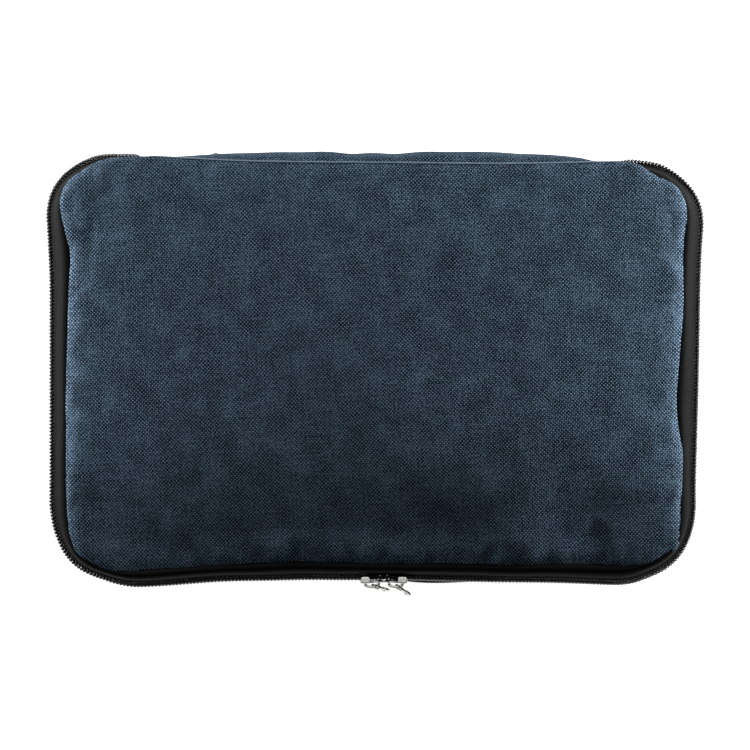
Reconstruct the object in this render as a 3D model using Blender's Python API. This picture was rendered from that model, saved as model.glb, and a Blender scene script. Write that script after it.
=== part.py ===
"""Travel document organizer: a soft clamshell case with a zipper round three sides and a fabric spine.

Frame: +X along the spine, +Y towards the spine, +Z up through the thickness. The case lies closed
on its back panel, and the origin is the middle of its footprint, on the surface that it lies on.
All sizes are in metres.
"""

import math

import bmesh
import bpy
from mathutils import Matrix, Vector

MM = 0.001

# ---- driving dimensions -------------------------------------------------------------------------
THICKNESS = 40 * MM
MID = THICKNESS / 2  # height of the zipper, half way up the case
SPINE_HALF_LENGTH = 101 * MM  # the zipper runs everywhere but here
SPINE_HALF_HEIGHT = 8.6 * MM
HINGE_Y = 91.9 * MM  # both folds of the spine lie at this depth
HINGE_H = 8.75 * MM  # and this far above and below the middle
GAP = 0.3 * MM  # clearance between pieces that touch on the real case

# Corners of an outline: x, y, corner radius, steps in the corner. They run anticlockwise from the
# top left. The lower edge is drawn in a little where the two sliders meet.
MEET_X = 4.1 * MM
PANEL = [
    (-136.5 * MM, 91.2 * MM, 20 * MM, 6),
    (-136.5 * MM, -88.3 * MM, 28 * MM, 6),
    (MEET_X, -86.4 * MM, 60 * MM, 2),
    (136.3 * MM, -88.3 * MM, 27 * MM, 6),
    (136.5 * MM, 91.2 * MM, 24 * MM, 6),
]
ZIP_START_X, ZIP_END_X = -102 * MM, 103 * MM
ZIP_CORNERS = [
    (-141.6 * MM, 93.6 * MM, 28 * MM, 6),
    (-141.6 * MM, -96.2 * MM, 38 * MM, 6),
    (MEET_X, -91.9 * MM, 60 * MM, 2),
    (141.3 * MM, -95.6 * MM, 36 * MM, 6),
    (142.4 * MM, 93.2 * MM, 32 * MM, 6),
]

# Profiles of the shells: distance outwards from the panel's outline, height from the middle.
FRONT_PROFILE = [(0, 8.9), (0.5, 10.5), (0.2, 12.8), (-1.8, 15.2), (-6, 17.0), (-16, 18.4), (-38, 19.4), (-62, 19.9)]
BACK_PROFILE = [(0, 8.9), (0.5, 10.5), (0.2, 12.6), (-1.8, 14.9), (-6, 16.9), (-14, 18.2), (-22, 18.7)]
FRONT_FOAM_PROFILE = [(-5, 15.3), (-8, 16.0), (-16, 17.1), (-38, 18.1), (-62, 18.6)]
BACK_FOAM_PROFILE = [(-5, 15.1), (-8, 15.8), (-14, 16.9), (-22, 17.4)]
FRONT_LINING_PROFILE = [(-2.4, 9.2), (-2.6, 10.8), (-4.5, 12.0), (-8, 12.6), (-16, 13.5), (-38, 14.5), (-62, 15.0)]
BACK_LINING_PROFILE = [(-2.4, 9.2), (-2.6, 10.8), (-4.5, 12.0), (-8, 12.6), (-14, 13.3), (-24, 14.0)]
SHELL_WALL, FOAM_WALL, LINING_WALL = 1.0 * MM, 2.6 * MM, 0.6 * MM

FRONT, BACK = 1, -1

# Main zipper: offsets outwards from the zipper's line (v) and heights from the middle (w).
COIL_V, COIL_W = (-0.9 * MM, 1.1 * MM), (0.7 * MM, 3.1 * MM)
TAPE_V, TAPE_WALL = -1.5 * MM, 0.6 * MM
TAPE_LOW, TAPE_KNEE, TAPE_TOP = 0.6 * MM, 4.8 * MM, 8.3 * MM
SLIDER_LENGTH = 10.4 * MM
SLIDER_SPACE = 0.2 * MM  # between the noses of the two closed sliders
PULLER_REST_LEFT, PULLER_REST_RIGHT = 18, 148  # degrees from the way that the slider's nose points

# Inside
POCKET_WALL = 0.6 * MM
LEVEL_A, LEVEL_B = 31.3 * MM, 30.4 * MM  # middles of the two layers of pockets under the cover
DIVIDER_Z = 23.7 * MM
DIVIDER_HINGE_Y = 83.5 * MM
MESH_Z = 8.5 * MM
MESH_ZIP_Y = 62 * MM


# ---- scene and materials ------------------------------------------------------------------------
def clear_scene():
    for old in list(bpy.data.objects):
        bpy.data.objects.remove(old)


def material(name, colour, roughness, metallic=0.0, alpha=1.0):
    made = bpy.data.materials.new(name)
    made.use_nodes = True
    shader = made.node_tree.nodes["Principled BSDF"]
    shader.inputs["Base Color"].default_value = (*colour, 1.0)
    shader.inputs["Roughness"].default_value = roughness
    shader.inputs["Metallic"].default_value = metallic
    shader.inputs["Alpha"].default_value = alpha
    return made


def materials():
    return {
        "outer_fabric": material("outer_fabric", (0.040, 0.066, 0.100), 0.85),
        "foam": material("foam", (0.30, 0.30, 0.32), 0.95),
        "lining": material("lining", (0.025, 0.028, 0.034), 0.7),
        "zipper_tape": material("zipper_tape", (0.010, 0.010, 0.010), 0.65),
        "zipper_coil": material("zipper_coil", (0.012, 0.012, 0.012), 0.3),
        "binding": material("binding", (0.010, 0.010, 0.010), 0.6),
        "mesh": material("mesh", (0.015, 0.015, 0.017), 0.8),
        "nickel": material("nickel", (0.80, 0.80, 0.78), 0.18, 1.0),
        "clear_vinyl": material("clear_vinyl", (0.85, 0.88, 0.90), 0.1, 0.0, 0.35),
        "board": material("board", (0.05, 0.05, 0.05), 0.6),
    }


def body_empty(name, location=(0, 0, 0)):
    """An empty on the body's joint axis, which its pieces are parented to."""
    empty = bpy.data.objects.new(name, None)
    bpy.context.scene.collection.objects.link(empty)
    empty.location = location
    bpy.context.view_layer.update()
    return empty


def adopt(piece, parent):
    """Parents a piece without moving it."""
    piece.parent = parent
    piece.matrix_parent_inverse = parent.matrix_world.inverted()


def object_from(name, bm, look, parent):
    bmesh.ops.recalc_face_normals(bm, faces=bm.faces)
    mesh = bpy.data.meshes.new(name)
    bm.to_mesh(mesh)
    bm.free()
    mesh.materials.append(look)
    piece = bpy.data.objects.new(name, mesh)
    bpy.context.scene.collection.objects.link(piece)
    adopt(piece, parent)
    mesh.shade_smooth()
    mesh.set_sharp_from_angle(angle=math.radians(35))
    return piece


# ---- outlines -----------------------------------------------------------------------------------
def unit(vector):
    return vector / vector.length


def left_of(direction):
    return Vector((-direction.y, direction.x))


def offset_corners(corners, distance, closed=True):
    """The corners moved outwards, which is to the right of an anticlockwise outline."""
    count = len(corners)
    points = [Vector(corner[:2]) for corner in corners]
    moved = []
    for i, (x, y, radius, steps) in enumerate(corners):
        ends = []
        if closed or i > 0:
            ends.append(unit(points[i] - points[i - 1]))
        if closed or i < count - 1:
            ends.append(unit(points[(i + 1) % count] - points[i]))
        outwards = [-left_of(direction) for direction in ends]
        mean = unit(sum(outwards, Vector((0, 0))))
        place = points[i] + mean * (distance / mean.dot(outwards[0]))
        moved.append((place.x, place.y, max(radius + distance, 2 * MM) if radius else 0, steps))
    return moved


def rounded(corners, closed=True):
    """Points along the outline, with an arc at each corner that has a radius."""
    count = len(corners)
    points = [Vector(corner[:2]) for corner in corners]
    made = []
    for i, (_, _, radius, steps) in enumerate(corners):
        if not radius or (not closed and i in (0, count - 1)):
            made.append(points[i])
            continue
        before = unit(points[i - 1] - points[i])
        after = unit(points[(i + 1) % count] - points[i])
        half_angle = before.angle(after) / 2
        start = points[i] + before * (radius / math.tan(half_angle))
        centre = points[i] + unit(before + after) * (radius / math.sin(half_angle))
        turn = math.pi - 2 * half_angle
        sense = 1 if before.cross(after) < 0 else -1
        for step in range(steps + 1):
            spoke = start - centre
            spoke.rotate(Matrix.Rotation(sense * turn * step / steps, 2))
            made.append(centre + spoke)
    return made


def zip_line(first=None, last=None):
    """The zipper's own line, open at the spine. first and last cut it short on the lower edge."""
    corners = [(ZIP_START_X, ZIP_CORNERS[0][1], 0, 0), *ZIP_CORNERS, (ZIP_END_X, ZIP_CORNERS[-1][1], 0, 0)]
    if last is not None:
        corners = [*corners[:3], (last, leg_y(last), 0, 0)]
    if first is not None:
        corners = [(first, leg_y(first), 0, 0), *corners[4:]]
    return corners


def panel_line():
    """The panel's outline along the same three sides as the zipper."""
    return [(ZIP_START_X, PANEL[0][1], 0, 0), *PANEL, (ZIP_END_X, PANEL[-1][1], 0, 0)]


def leg_direction(side):
    """The way from the meeting point along the lower edge, to the left (-1) or right (+1)."""
    far = ZIP_CORNERS[1] if side < 0 else ZIP_CORNERS[3]
    return unit(Vector(far[:2]) - Vector(ZIP_CORNERS[2][:2]))


def leg_y(x):
    """The y of the zipper's line at x on the lower edge."""
    way = leg_direction(-1 if x < MEET_X else 1)
    return ZIP_CORNERS[2][1] + way.y / way.x * (x - MEET_X)


# ---- solids -------------------------------------------------------------------------------------
def tray(name, profile, wall, side, look, parent):
    """A crowned panel with turned-down edges, thickened inwards from its outer surface."""
    bm = bmesh.new()
    rings = []
    for outwards, height in profile:
        outline = rounded(offset_corners(PANEL, outwards * MM))
        z = MID + side * height * MM
        rings.append([bm.verts.new((point.x, point.y, z)) for point in outline])
    for lower, upper in zip(rings, rings[1:]):
        for i in range(len(lower)):
            j = (i + 1) % len(lower)
            bm.faces.new((lower[i], lower[j], upper[j], upper[i]))
    bm.faces.new(rings[-1])
    piece = object_from(name, bm, look, parent)
    if piece.data.polygons[-1].normal.z * side < 0:
        piece.data.flip_normals()
    thicken(piece, wall)
    return piece


def thicken(piece, wall):
    """Adds a wall on the side that the faces turn their back to."""
    modifier = piece.modifiers.new("wall", "SOLIDIFY")
    modifier.thickness = wall
    modifier.offset = -1
    modifier.use_even_offset = True


def sweep(name, corners, section, side, look, parent, closed=False):
    """A section of (outwards, height from the middle) points carried along an outline."""
    bm = bmesh.new()
    rails = []
    for outwards, height in section:
        line = rounded(offset_corners(corners, outwards, closed), closed)
        rails.append([bm.verts.new((point.x, point.y, MID + side * height)) for point in line])
    length = len(rails[0])
    for i in range(length if closed else length - 1):
        j = (i + 1) % length
        for k, rail in enumerate(rails):
            beside = rails[(k + 1) % len(rails)]
            bm.faces.new((rail[i], rail[j], beside[j], beside[i]))
    if not closed:
        for end in (0, -1):
            bm.faces.new([rail[end] for rail in rails])
    return object_from(name, bm, look, parent)


def tube_section(outwards, height, radius, count=8):
    turns = (2 * math.pi * (k + 0.5) / count for k in range(count))
    return [(outwards + radius * math.cos(a), height + radius * math.sin(a)) for a in turns]


def prism(bm, outline, low, high, place=Matrix.Identity(4)):
    """An outline in its own x and y, extruded in z from low to high, then put in place."""
    ends = [[bm.verts.new(place @ Vector((x, y, z))) for x, y in outline] for z in (low, high)]
    bm.faces.new(ends[0])
    bm.faces.new(ends[1])
    for i in range(len(outline)):
        j = (i + 1) % len(outline)
        bm.faces.new((ends[0][i], ends[0][j], ends[1][j], ends[1][i]))


def plate(name, corners, middle, wall, look, parent):
    """A flat sheet with rounded corners, lying level."""
    bm = bmesh.new()
    prism(bm, rounded(corners), middle - wall / 2, middle + wall / 2)
    return object_from(name, bm, look, parent)


def rectangle(x0, x1, y0, y1, radius=3 * MM, steps=3):
    return [(x0, y1, radius, steps), (x0, y0, radius, steps), (x1, y0, radius, steps), (x1, y1, radius, steps)]


def box(bm, low, high, place=Matrix.Identity(4)):
    outline = [(low[0], low[1]), (high[0], low[1]), (high[0], high[1]), (low[0], high[1])]
    prism(bm, outline, low[2], high[2], place)


def bevel_edges(piece, width, segments=1):
    modifier = piece.modifiers.new("edges", "BEVEL")
    modifier.width = width
    modifier.segments = segments
    modifier.limit_method = "ANGLE"
    modifier.angle_limit = math.radians(40)


def united(name, makers, look, parent):
    """One body from several overlapping shapes; each maker fills a bmesh."""
    shapes = []
    for maker in makers:
        bm = bmesh.new()
        maker(bm)
        shapes.append(object_from(name, bm, look, parent))
    base, others = shapes[0], shapes[1:]
    for other in others:
        modifier = base.modifiers.new("union", "BOOLEAN")
        modifier.operation = "UNION"
        modifier.object = other
    graph = bpy.context.evaluated_depsgraph_get()
    joined = bpy.data.meshes.new_from_object(base.evaluated_get(graph))
    base.modifiers.clear()
    base.data = joined
    for other in others:
        bpy.data.objects.remove(other)
    base.name = name
    return base


# ---- zippers ------------------------------------------------------------------------------------
def frame_of(origin, along, out):
    """A slider's frame: x towards its nose, y out of the zipper's face, z across the tapes."""
    x, y = unit(Vector(along)), unit(Vector(out))
    z = x.cross(y)
    return Matrix.Translation(Vector(origin)) @ Matrix((x, y, z)).transposed().to_4x4()


def nose_outline(length, half_width):
    """A slider's plate seen from outside: square at the tail, rounded and wider at the nose."""
    tail, nose = -length / 2, length / 2
    side = [(tail, 0.78), (tail + 0.08 * length, 0.86), (0.05 * length, 0.88), (0.25 * length, 1.0)]
    side += [(nose - 0.12 * length, 0.92), (nose - 0.03 * length, 0.6), (nose, 0.25)]
    upper = [(x, half_width * share) for x, share in side]
    return upper + [(x, -y) for x, y in reversed(upper)]


def slider_body(name, place, size, look, parent):
    """Two plates joined by a post at the nose. The outer one has flanges that hold the coils."""
    length, half_width = size["length"], size["half_width"]
    inner_low, inner_high = size["inner"]
    outer_low, outer_high = size["outer"]
    flat = Matrix.Rotation(-math.pi / 2, 4, "X")  # turns an outline in x, z so that it is extruded in y

    def outer_plate(bm):
        prism(bm, nose_outline(length, half_width), outer_low, outer_high, place @ flat)

    def inner_plate(bm):
        prism(bm, nose_outline(length, half_width), inner_low, inner_high, place @ flat)

    def flange(sign):
        def make(bm):
            inside, outside = size["flange"]
            edges = sorted((sign * inside, sign * outside))
            low = (-0.46 * length, size["flange_end"], edges[0])
            high = (0.08 * length, (outer_low + outer_high) / 2, edges[1])
            box(bm, low, high, place)
        return make

    def post(bm):
        half = size["post_half"]
        low = (0.28 * length, (inner_low + inner_high) / 2, -half)
        high = (0.44 * length, (outer_low + outer_high) / 2, half)
        box(bm, low, high, place)

    return united(name, [outer_plate, flange(1), flange(-1), post, inner_plate], look, parent)


def slider_crown(name, place, size, look, parent):
    """The arch over the outer plate that the puller hangs in."""
    foot = size["outer"][1] + size["seat"]
    reach, rise, wall, half = size["crown_reach"], size["crown_rise"], size["crown_wall"], size["crown_half"]
    arch = 10
    outer = [(reach * math.cos(math.pi * k / arch), foot + rise * math.sin(math.pi * k / arch)) for k in range(arch + 1)]
    inner = [
        ((reach - wall) * math.cos(math.pi * k / arch), foot + (rise - wall) * math.sin(math.pi * k / arch))
        for k in range(arch, -1, -1)
    ]
    bm = bmesh.new()
    prism(bm, outer + inner, -half, half, place)
    piece = object_from(name, bm, look, parent)
    return piece


def puller(name, place, size, look, parent):
    """A tag with a window that the crown passes through. It lies along +x from its pin at the origin."""
    thick, half, window = size["puller_thick"], size["puller_half"], size["window_half"]
    start, end, tip = size["window_start"], size["window_end"], size["puller_length"]
    flat = Matrix.Rotation(-math.pi / 2, 4, "X")
    shoulder, waist = end + 0.10 * tip, 0.72 * half
    outline = [(-thick / 2, half), (end, half), (shoulder, waist)]
    outline += [(tip - waist + waist * math.sin(a), waist * math.cos(a)) for a in (math.pi * k / 8 for k in range(9))]
    outline += [(shoulder, -waist), (end, -half), (-thick / 2, -half)]
    bm = bmesh.new()
    prism(bm, outline, -thick / 2, thick / 2, place @ flat)
    piece = object_from(name, bm, look, parent)
    cutter_bm = bmesh.new()
    box(cutter_bm, (start, -thick, -window), (end - 0.4 * MM, thick, window), place)
    eye = 0.42 * waist
    ring = [(tip - waist + eye * math.cos(a), eye * math.sin(a)) for a in (2 * math.pi * k / 10 for k in range(10))]
    prism(cutter_bm, ring, -thick, thick, place @ flat)
    cutter = object_from(name + "_cut", cutter_bm, look, parent)
    modifier = piece.modifiers.new("window", "BOOLEAN")
    modifier.operation = "DIFFERENCE"
    modifier.object = cutter
    graph = bpy.context.evaluated_depsgraph_get()
    cut = bpy.data.meshes.new_from_object(piece.evaluated_get(graph))
    piece.modifiers.clear()
    piece.data = cut
    bpy.data.objects.remove(cutter)
    return piece


MAIN_SLIDER = {
    "length": SLIDER_LENGTH,
    "half_width": 4.6 * MM,
    "inner": (-3.1 * MM, -2.2 * MM),
    "outer": (1.5 * MM, 2.3 * MM),
    "flange": (3.5 * MM, 4.2 * MM),
    "flange_end": -0.8 * MM,
    "post_half": 0.35 * MM,
    "seat": GAP,
    "crown_reach": 3.3 * MM,
    "crown_rise": 2.7 * MM,
    "crown_wall": 0.8 * MM,
    "crown_half": 1.4 * MM,
    "puller_thick": 1.0 * MM,
    "puller_half": 2.9 * MM,
    "window_half": 1.8 * MM,
    "window_start": 0.6 * MM,
    "window_end": 5.0 * MM,
    "puller_length": 9.6 * MM,
    "pin": 3.55 * MM,
}
POCKET_SLIDER = {
    "length": 8.0 * MM,
    "half_width": 3.3 * MM,
    "inner": (-1.0 * MM, -0.5 * MM),
    "outer": (2.0 * MM, 2.6 * MM),
    "flange": (2.6 * MM, 3.1 * MM),
    "flange_end": 0.75 * MM,
    "post_half": 0.25 * MM,
    "seat": GAP,
    "crown_reach": 2.5 * MM,
    "crown_rise": 1.9 * MM,
    "crown_wall": 0.6 * MM,
    "crown_half": 1.0 * MM,
    "puller_thick": 0.8 * MM,
    "puller_half": 2.1 * MM,
    "window_half": 1.35 * MM,
    "window_start": 0.5 * MM,
    "window_end": 3.9 * MM,
    "puller_length": 8.0 * MM,
    "pin": 3.45 * MM,
}


def slider(prefix, place, size, rest_angle, looks, slider_parent, puller_parent):
    slider_body(prefix + "_slider_body", place, size, looks["nickel"], slider_parent)
    slider_crown(prefix + "_slider_crown", place, size, looks["nickel"], slider_parent)
    swing = Matrix.Translation((0, size["pin"], 0)) @ Matrix.Rotation(math.radians(rest_angle), 4, "Z")
    puller(prefix + "_puller", place @ swing, size, looks["nickel"], puller_parent)


def main_slider(side, looks):
    """side -1 is the left slider and +1 the right one. Their noses face each other."""
    word = "left" if side < 0 else "right"
    way = leg_direction(side)
    middle = Vector(ZIP_CORNERS[2][:2]) + way * (SLIDER_LENGTH + SLIDER_SPACE) / 2
    out = -left_of(way) if side > 0 else left_of(way)
    place = frame_of((middle.x, middle.y, MID), (-way.x, -way.y, 0), (out.x, out.y, 0))
    travel = body_empty(f"{word}_slider", place.translation)
    pin = place @ Vector((0, MAIN_SLIDER["pin"], 0))
    swing = body_empty(f"{word}_puller_pin", pin)
    rest = PULLER_REST_LEFT if side < 0 else PULLER_REST_RIGHT
    slider(word, place, MAIN_SLIDER, rest, looks, travel, swing)


POCKET_TAPE_W, POCKET_COIL_W = (0.45 * MM, 4.4 * MM), (0.5 * MM, 2.2 * MM)
POCKET_TAPE_V, POCKET_COIL_V = (0 * MM, 0.4 * MM), (0.7 * MM, 1.7 * MM)
STOP_SIZE = (1.6 * MM, 1.1 * MM, 4.4 * MM)


def pocket_zipper(prefix, origin, out, half_length, slider_x, rest_angle, looks, parent):
    """A small straight zipper along X, with its slider, whose nose points to -X."""
    place = frame_of(origin, (-1, 0, 0), out)
    for word, sign in (("upper", 1), ("lower", -1)):
        for part, across, proud, look in (
            ("tape", POCKET_TAPE_W, POCKET_TAPE_V, "zipper_tape"),
            ("coil", POCKET_COIL_W, POCKET_COIL_V, "zipper_coil"),
        ):
            edges = sorted((sign * across[0], sign * across[1]))
            bm = bmesh.new()
            box(bm, (-half_length, proud[0], edges[0]), (half_length, proud[1], edges[1]), place)
            object_from(f"{prefix}_{part}_{word}", bm, looks[look], parent)
    for word, sign in (("left", 1), ("right", -1)):
        bm = bmesh.new()
        middle = sign * (half_length - STOP_SIZE[0])
        low = (middle - STOP_SIZE[0] / 2, POCKET_COIL_V[1] + GAP, -STOP_SIZE[2] / 2)
        high = (middle + STOP_SIZE[0] / 2, POCKET_COIL_V[1] + GAP + STOP_SIZE[1] / 2, STOP_SIZE[2] / 2)
        box(bm, low, high, place)
        object_from(f"{prefix}_stop_{word}", bm, looks["nickel"], parent)
    slider_place = place @ Matrix.Translation((-slider_x, 0, 0))
    travel = body_empty(f"{prefix}_slider", slider_place.translation)
    swing = body_empty(f"{prefix}_puller_pin", slider_place @ Vector((0, POCKET_SLIDER["pin"], 0)))
    slider(prefix, slider_place, POCKET_SLIDER, rest_angle, looks, travel, swing)


# ---- the case -----------------------------------------------------------------------------------
def zipper_tape(name, side, looks, parent):
    """One half of the tape: upright behind the coil, then leaning in to the panel's edge."""
    bm = bmesh.new()
    upright = offset_corners(zip_line(), TAPE_V + TAPE_WALL / 2, closed=False)
    seam = offset_corners(panel_line(), 0.6 * MM, closed=False)
    rows = []
    for corners, height in ((upright, TAPE_LOW), (upright, TAPE_KNEE), (seam, TAPE_TOP)):
        line = rounded(corners, closed=False)
        rows.append([bm.verts.new((point.x, point.y, MID + side * height)) for point in line])
    for lower, upper in zip(rows, rows[1:]):
        for i in range(len(lower) - 1):
            bm.faces.new((lower[i], lower[i + 1], upper[i + 1], upper[i]))
    piece = object_from(name, bm, looks["zipper_tape"], parent)
    outward_face = min(piece.data.polygons, key=lambda face: face.center.y)
    if outward_face.normal.y > 0:
        piece.data.flip_normals()
    thicken(piece, TAPE_WALL)
    return piece


def coil(name, corners, side, looks, parent):
    section = [(COIL_V[0], COIL_W[0]), (COIL_V[1], COIL_W[0]), (COIL_V[1], COIL_W[1]), (COIL_V[0], COIL_W[1])]
    return sweep(name, corners, section, side, looks["zipper_coil"], parent)


def back_half(looks, parent):
    tray("back_shell", BACK_PROFILE, SHELL_WALL, BACK, looks["outer_fabric"], parent)
    tray("back_foam", BACK_FOAM_PROFILE, FOAM_WALL, BACK, looks["foam"], parent)
    tray("back_lining", BACK_LINING_PROFILE, LINING_WALL, BACK, looks["lining"], parent)
    zipper_tape("back_zipper_tape", BACK, looks, parent)
    coil("back_coil", zip_line(), BACK, looks, parent)
    seam = offset_corners(panel_line(), -3.4 * MM, closed=False)
    binding = tube_section(0, 7.4 * MM, 1.2 * MM)
    sweep("back_seam_binding", seam, binding, BACK, looks["binding"], parent)
    pocket = rectangle(-118 * MM, 118 * MM, -66 * MM, 75.5 * MM, 12 * MM, 5)
    plate("rear_pocket_panel", pocket, 0.5 * MM, 1.0 * MM, looks["outer_fabric"], parent)
    strip = bmesh.new()
    box(strip, (-96 * MM, 84.4 * MM, 8.4 * MM), (96 * MM, 85.0 * MM, 22.8 * MM))
    object_from("divider_hinge_strip", strip, looks["binding"], parent)


def rear_pocket_zipper(looks, parent):
    """It runs over the rounded edge between the back panel and the spine."""
    pocket_zipper(
        "rear_pocket",
        origin=(0, 91.5 * MM, MID - 14.4 * MM),
        out=(0, 0.75, -0.66),
        half_length=88 * MM,
        slider_x=-76 * MM,
        rest_angle=170,
        looks=looks,
        parent=parent,
    )


def mesh_pocket(looks, parent):
    gap = POCKET_TAPE_W[1] + GAP
    panel = rectangle(-114 * MM, 114 * MM, -70 * MM, MESH_ZIP_Y - gap, 4 * MM)
    plate("mesh_pocket_panel", panel, MESH_Z, 0.5 * MM, looks["mesh"], parent)
    band = rectangle(-114 * MM, 114 * MM, MESH_ZIP_Y + gap, 77 * MM, 4 * MM)
    plate("mesh_pocket_top_band", band, MESH_Z, 0.5 * MM, looks["lining"], parent)
    edge = [(x, y, r, 3) for x, y, r, _ in rectangle(-114 * MM, 114 * MM, -70 * MM, 77 * MM, 4 * MM)]
    section = [(outwards, height) for outwards, height in tube_section(1.3 * MM, MID - MESH_Z, 1.0 * MM, 6)]
    sweep("mesh_pocket_binding", edge, section, BACK, looks["binding"], parent, closed=True)
    pocket_zipper(
        "mesh_pocket",
        origin=(0, MESH_ZIP_Y, MESH_Z - 0.2 * MM),
        out=(0, 0, 1),
        half_length=110 * MM,
        slider_x=-98 * MM,
        rest_angle=174,
        looks=looks,
        parent=parent,
    )


def spine(looks, parent):
    """Three layers that bulge outwards between the folds."""
    steps = 8
    heights = [SPINE_HALF_HEIGHT * (2 * k / steps - 1) for k in range(steps + 1)]

    def outside(h):
        return 91.4 * MM + 3.9 * MM * (1 - (h / SPINE_HALF_HEIGHT) ** 2)

    turn = Matrix.Rotation(math.pi / 2, 4, "Y") @ Matrix.Rotation(math.pi / 2, 4, "Z")
    place = Matrix.Translation((0, 0, MID)) @ turn
    for name, depth, wall, shorter, look in (
        ("spine_shell", 0, 1.0 * MM, 0, "outer_fabric"),
        ("spine_foam", 1.3 * MM, 2.0 * MM, 4 * MM, "foam"),
        ("spine_lining", 3.6 * MM, 0.6 * MM, 0, "lining"),
    ):
        outer = [(outside(h) - depth, h) for h in heights]
        inner = [(y - wall, h) for y, h in reversed(outer)]
        bm = bmesh.new()
        half = SPINE_HALF_LENGTH - shorter
        prism(bm, outer + inner, -half, half, place)
        object_from(name, bm, looks[look], parent)


def front_cover(looks, parent):
    tray("front_shell", FRONT_PROFILE, SHELL_WALL, FRONT, looks["outer_fabric"], parent)
    tray("front_foam", FRONT_FOAM_PROFILE, FOAM_WALL, FRONT, looks["foam"], parent)
    tray("front_lining", FRONT_LINING_PROFILE, LINING_WALL, FRONT, looks["lining"], parent)
    zipper_tape("front_zipper_tape", FRONT, looks, parent)
    clear = SLIDER_LENGTH + SLIDER_SPACE / 2 + 0.5 * MM
    coil("front_coil_left", zip_line(last=MEET_X - clear), FRONT, looks, parent)
    coil("front_coil_right", zip_line(first=MEET_X + clear), FRONT, looks, parent)
    seam = offset_corners(panel_line(), -3.4 * MM, closed=False)
    binding = tube_section(0, 7.4 * MM, 1.2 * MM)
    sweep("front_seam_binding", seam, binding, FRONT, looks["binding"], parent)
    cover_pockets(looks, parent)


def cover_pockets(looks, parent):
    """Pockets on the cover's lining. Their mouths face the zipper's long side."""
    for name, x0, x1, top, middle in (
        ("passport_pocket_inner", -120, -14, -46, LEVEL_A),
        ("passport_pocket_outer", -119, -15, -6, LEVEL_B),
    ):
        outline = rectangle(x0 * MM, x1 * MM, top * MM, 74 * MM)
        plate(name, outline, middle, POCKET_WALL, looks["lining"], parent)
    slots, pitch, overlap = 4, 16 * MM, 4 * MM
    for slot in range(slots):
        low = -38 * MM + slot * pitch
        outline = rectangle(-4 * MM, 92 * MM, low, low + pitch + overlap, 2 * MM)
        middle = LEVEL_A if slot % 2 else LEVEL_B
        plate(f"card_slot_{slot + 1}", outline, middle, POCKET_WALL, looks["lining"], parent)
    window = rectangle(-4 * MM, 92 * MM, 36 * MM, 74 * MM)
    plate("id_window", window, LEVEL_A, 0.4 * MM, looks["clear_vinyl"], parent)
    pen_loop(looks, parent)


def pen_loop(looks, parent):
    """An elastic loop for a pen, with its two ends sewn flat to the lining."""
    radius, wall, tab, x, top = 6.0 * MM, 0.8 * MM, 5 * MM, 108 * MM, 32.2 * MM
    steps = 10
    arc = [math.pi * k / steps for k in range(steps + 1)]
    outer = [(x + radius * math.cos(a), -radius * math.sin(a)) for a in arc]
    inner = [(x + (radius - wall) * math.cos(a), -(radius - wall) * math.sin(a)) for a in reversed(arc)]
    right, left = x + radius + tab, x - radius - tab
    section = [(right, wall), (right, 0), *outer, (left, 0), (left, wall)]
    section += [(x - radius + wall, wall), *inner, (x + radius - wall, wall)]
    bm = bmesh.new()
    stand = Matrix.Translation((0, 0, top - wall)) @ Matrix.Rotation(math.pi / 2, 4, "X")
    prism(bm, section, -10 * MM, 10 * MM, stand)
    object_from("pen_loop", bm, looks["binding"], parent)


def divider(looks, parent):
    """A page of two pockets on a board, bound round its edge."""
    page = rectangle(-121 * MM, 121 * MM, -72 * MM, 80 * MM, 8 * MM, 4)
    plate("divider_board", page, DIVIDER_Z, 0.8 * MM, looks["board"], parent)
    front = rectangle(-120 * MM, 120 * MM, -50 * MM, 79 * MM, 6 * MM, 4)
    plate("divider_front_pocket", front, DIVIDER_Z + 0.95 * MM, 0.5 * MM, looks["lining"], parent)
    back = rectangle(-120 * MM, 120 * MM, -34 * MM, 79 * MM, 6 * MM, 4)
    plate("divider_back_pocket", back, DIVIDER_Z - 0.95 * MM, 0.5 * MM, looks["lining"], parent)
    edge = tube_section(1.3 * MM, DIVIDER_Z - MID, 1.0 * MM, 6)
    sweep("divider_binding", page, edge, FRONT, looks["binding"], parent, closed=True)


def zipper_end_tabs(looks, parent):
    """Short tabs that close the zipper's lower ends beside the spine."""
    for word, x in (("left", ZIP_START_X), ("right", ZIP_END_X)):
        inwards = 1 if x < 0 else -1
        edges = sorted((x - inwards * 6 * MM, x - inwards * 0.4 * MM))
        bm = bmesh.new()
        box(bm, (edges[0], 88.2 * MM, MID - 5.8 * MM), (edges[1], 90.8 * MM, MID - 1.0 * MM))
        object_from(f"zipper_end_tab_{word}", bm, looks["binding"], parent)


def main():
    clear_scene()
    looks = materials()
    back = body_empty("back_half")
    back_half(looks, back)
    rear_pocket_zipper(looks, back)
    mesh_pocket(looks, back)
    zipper_end_tabs(looks, back)
    spine(looks, body_empty("spine", (0, HINGE_Y, MID - HINGE_H)))
    front_cover(looks, body_empty("front_cover", (0, HINGE_Y, MID + HINGE_H)))
    divider(looks, body_empty("divider", (0, DIVIDER_HINGE_Y, DIVIDER_Z)))
    for side in (-1, 1):
        main_slider(side, looks)


main()
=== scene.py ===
"""Looks for the travel document organizer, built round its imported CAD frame.

Everything is laid out in millimetres and written to the meshes in metres. Z is up, +Y is the spine.
"""

import math

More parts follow.
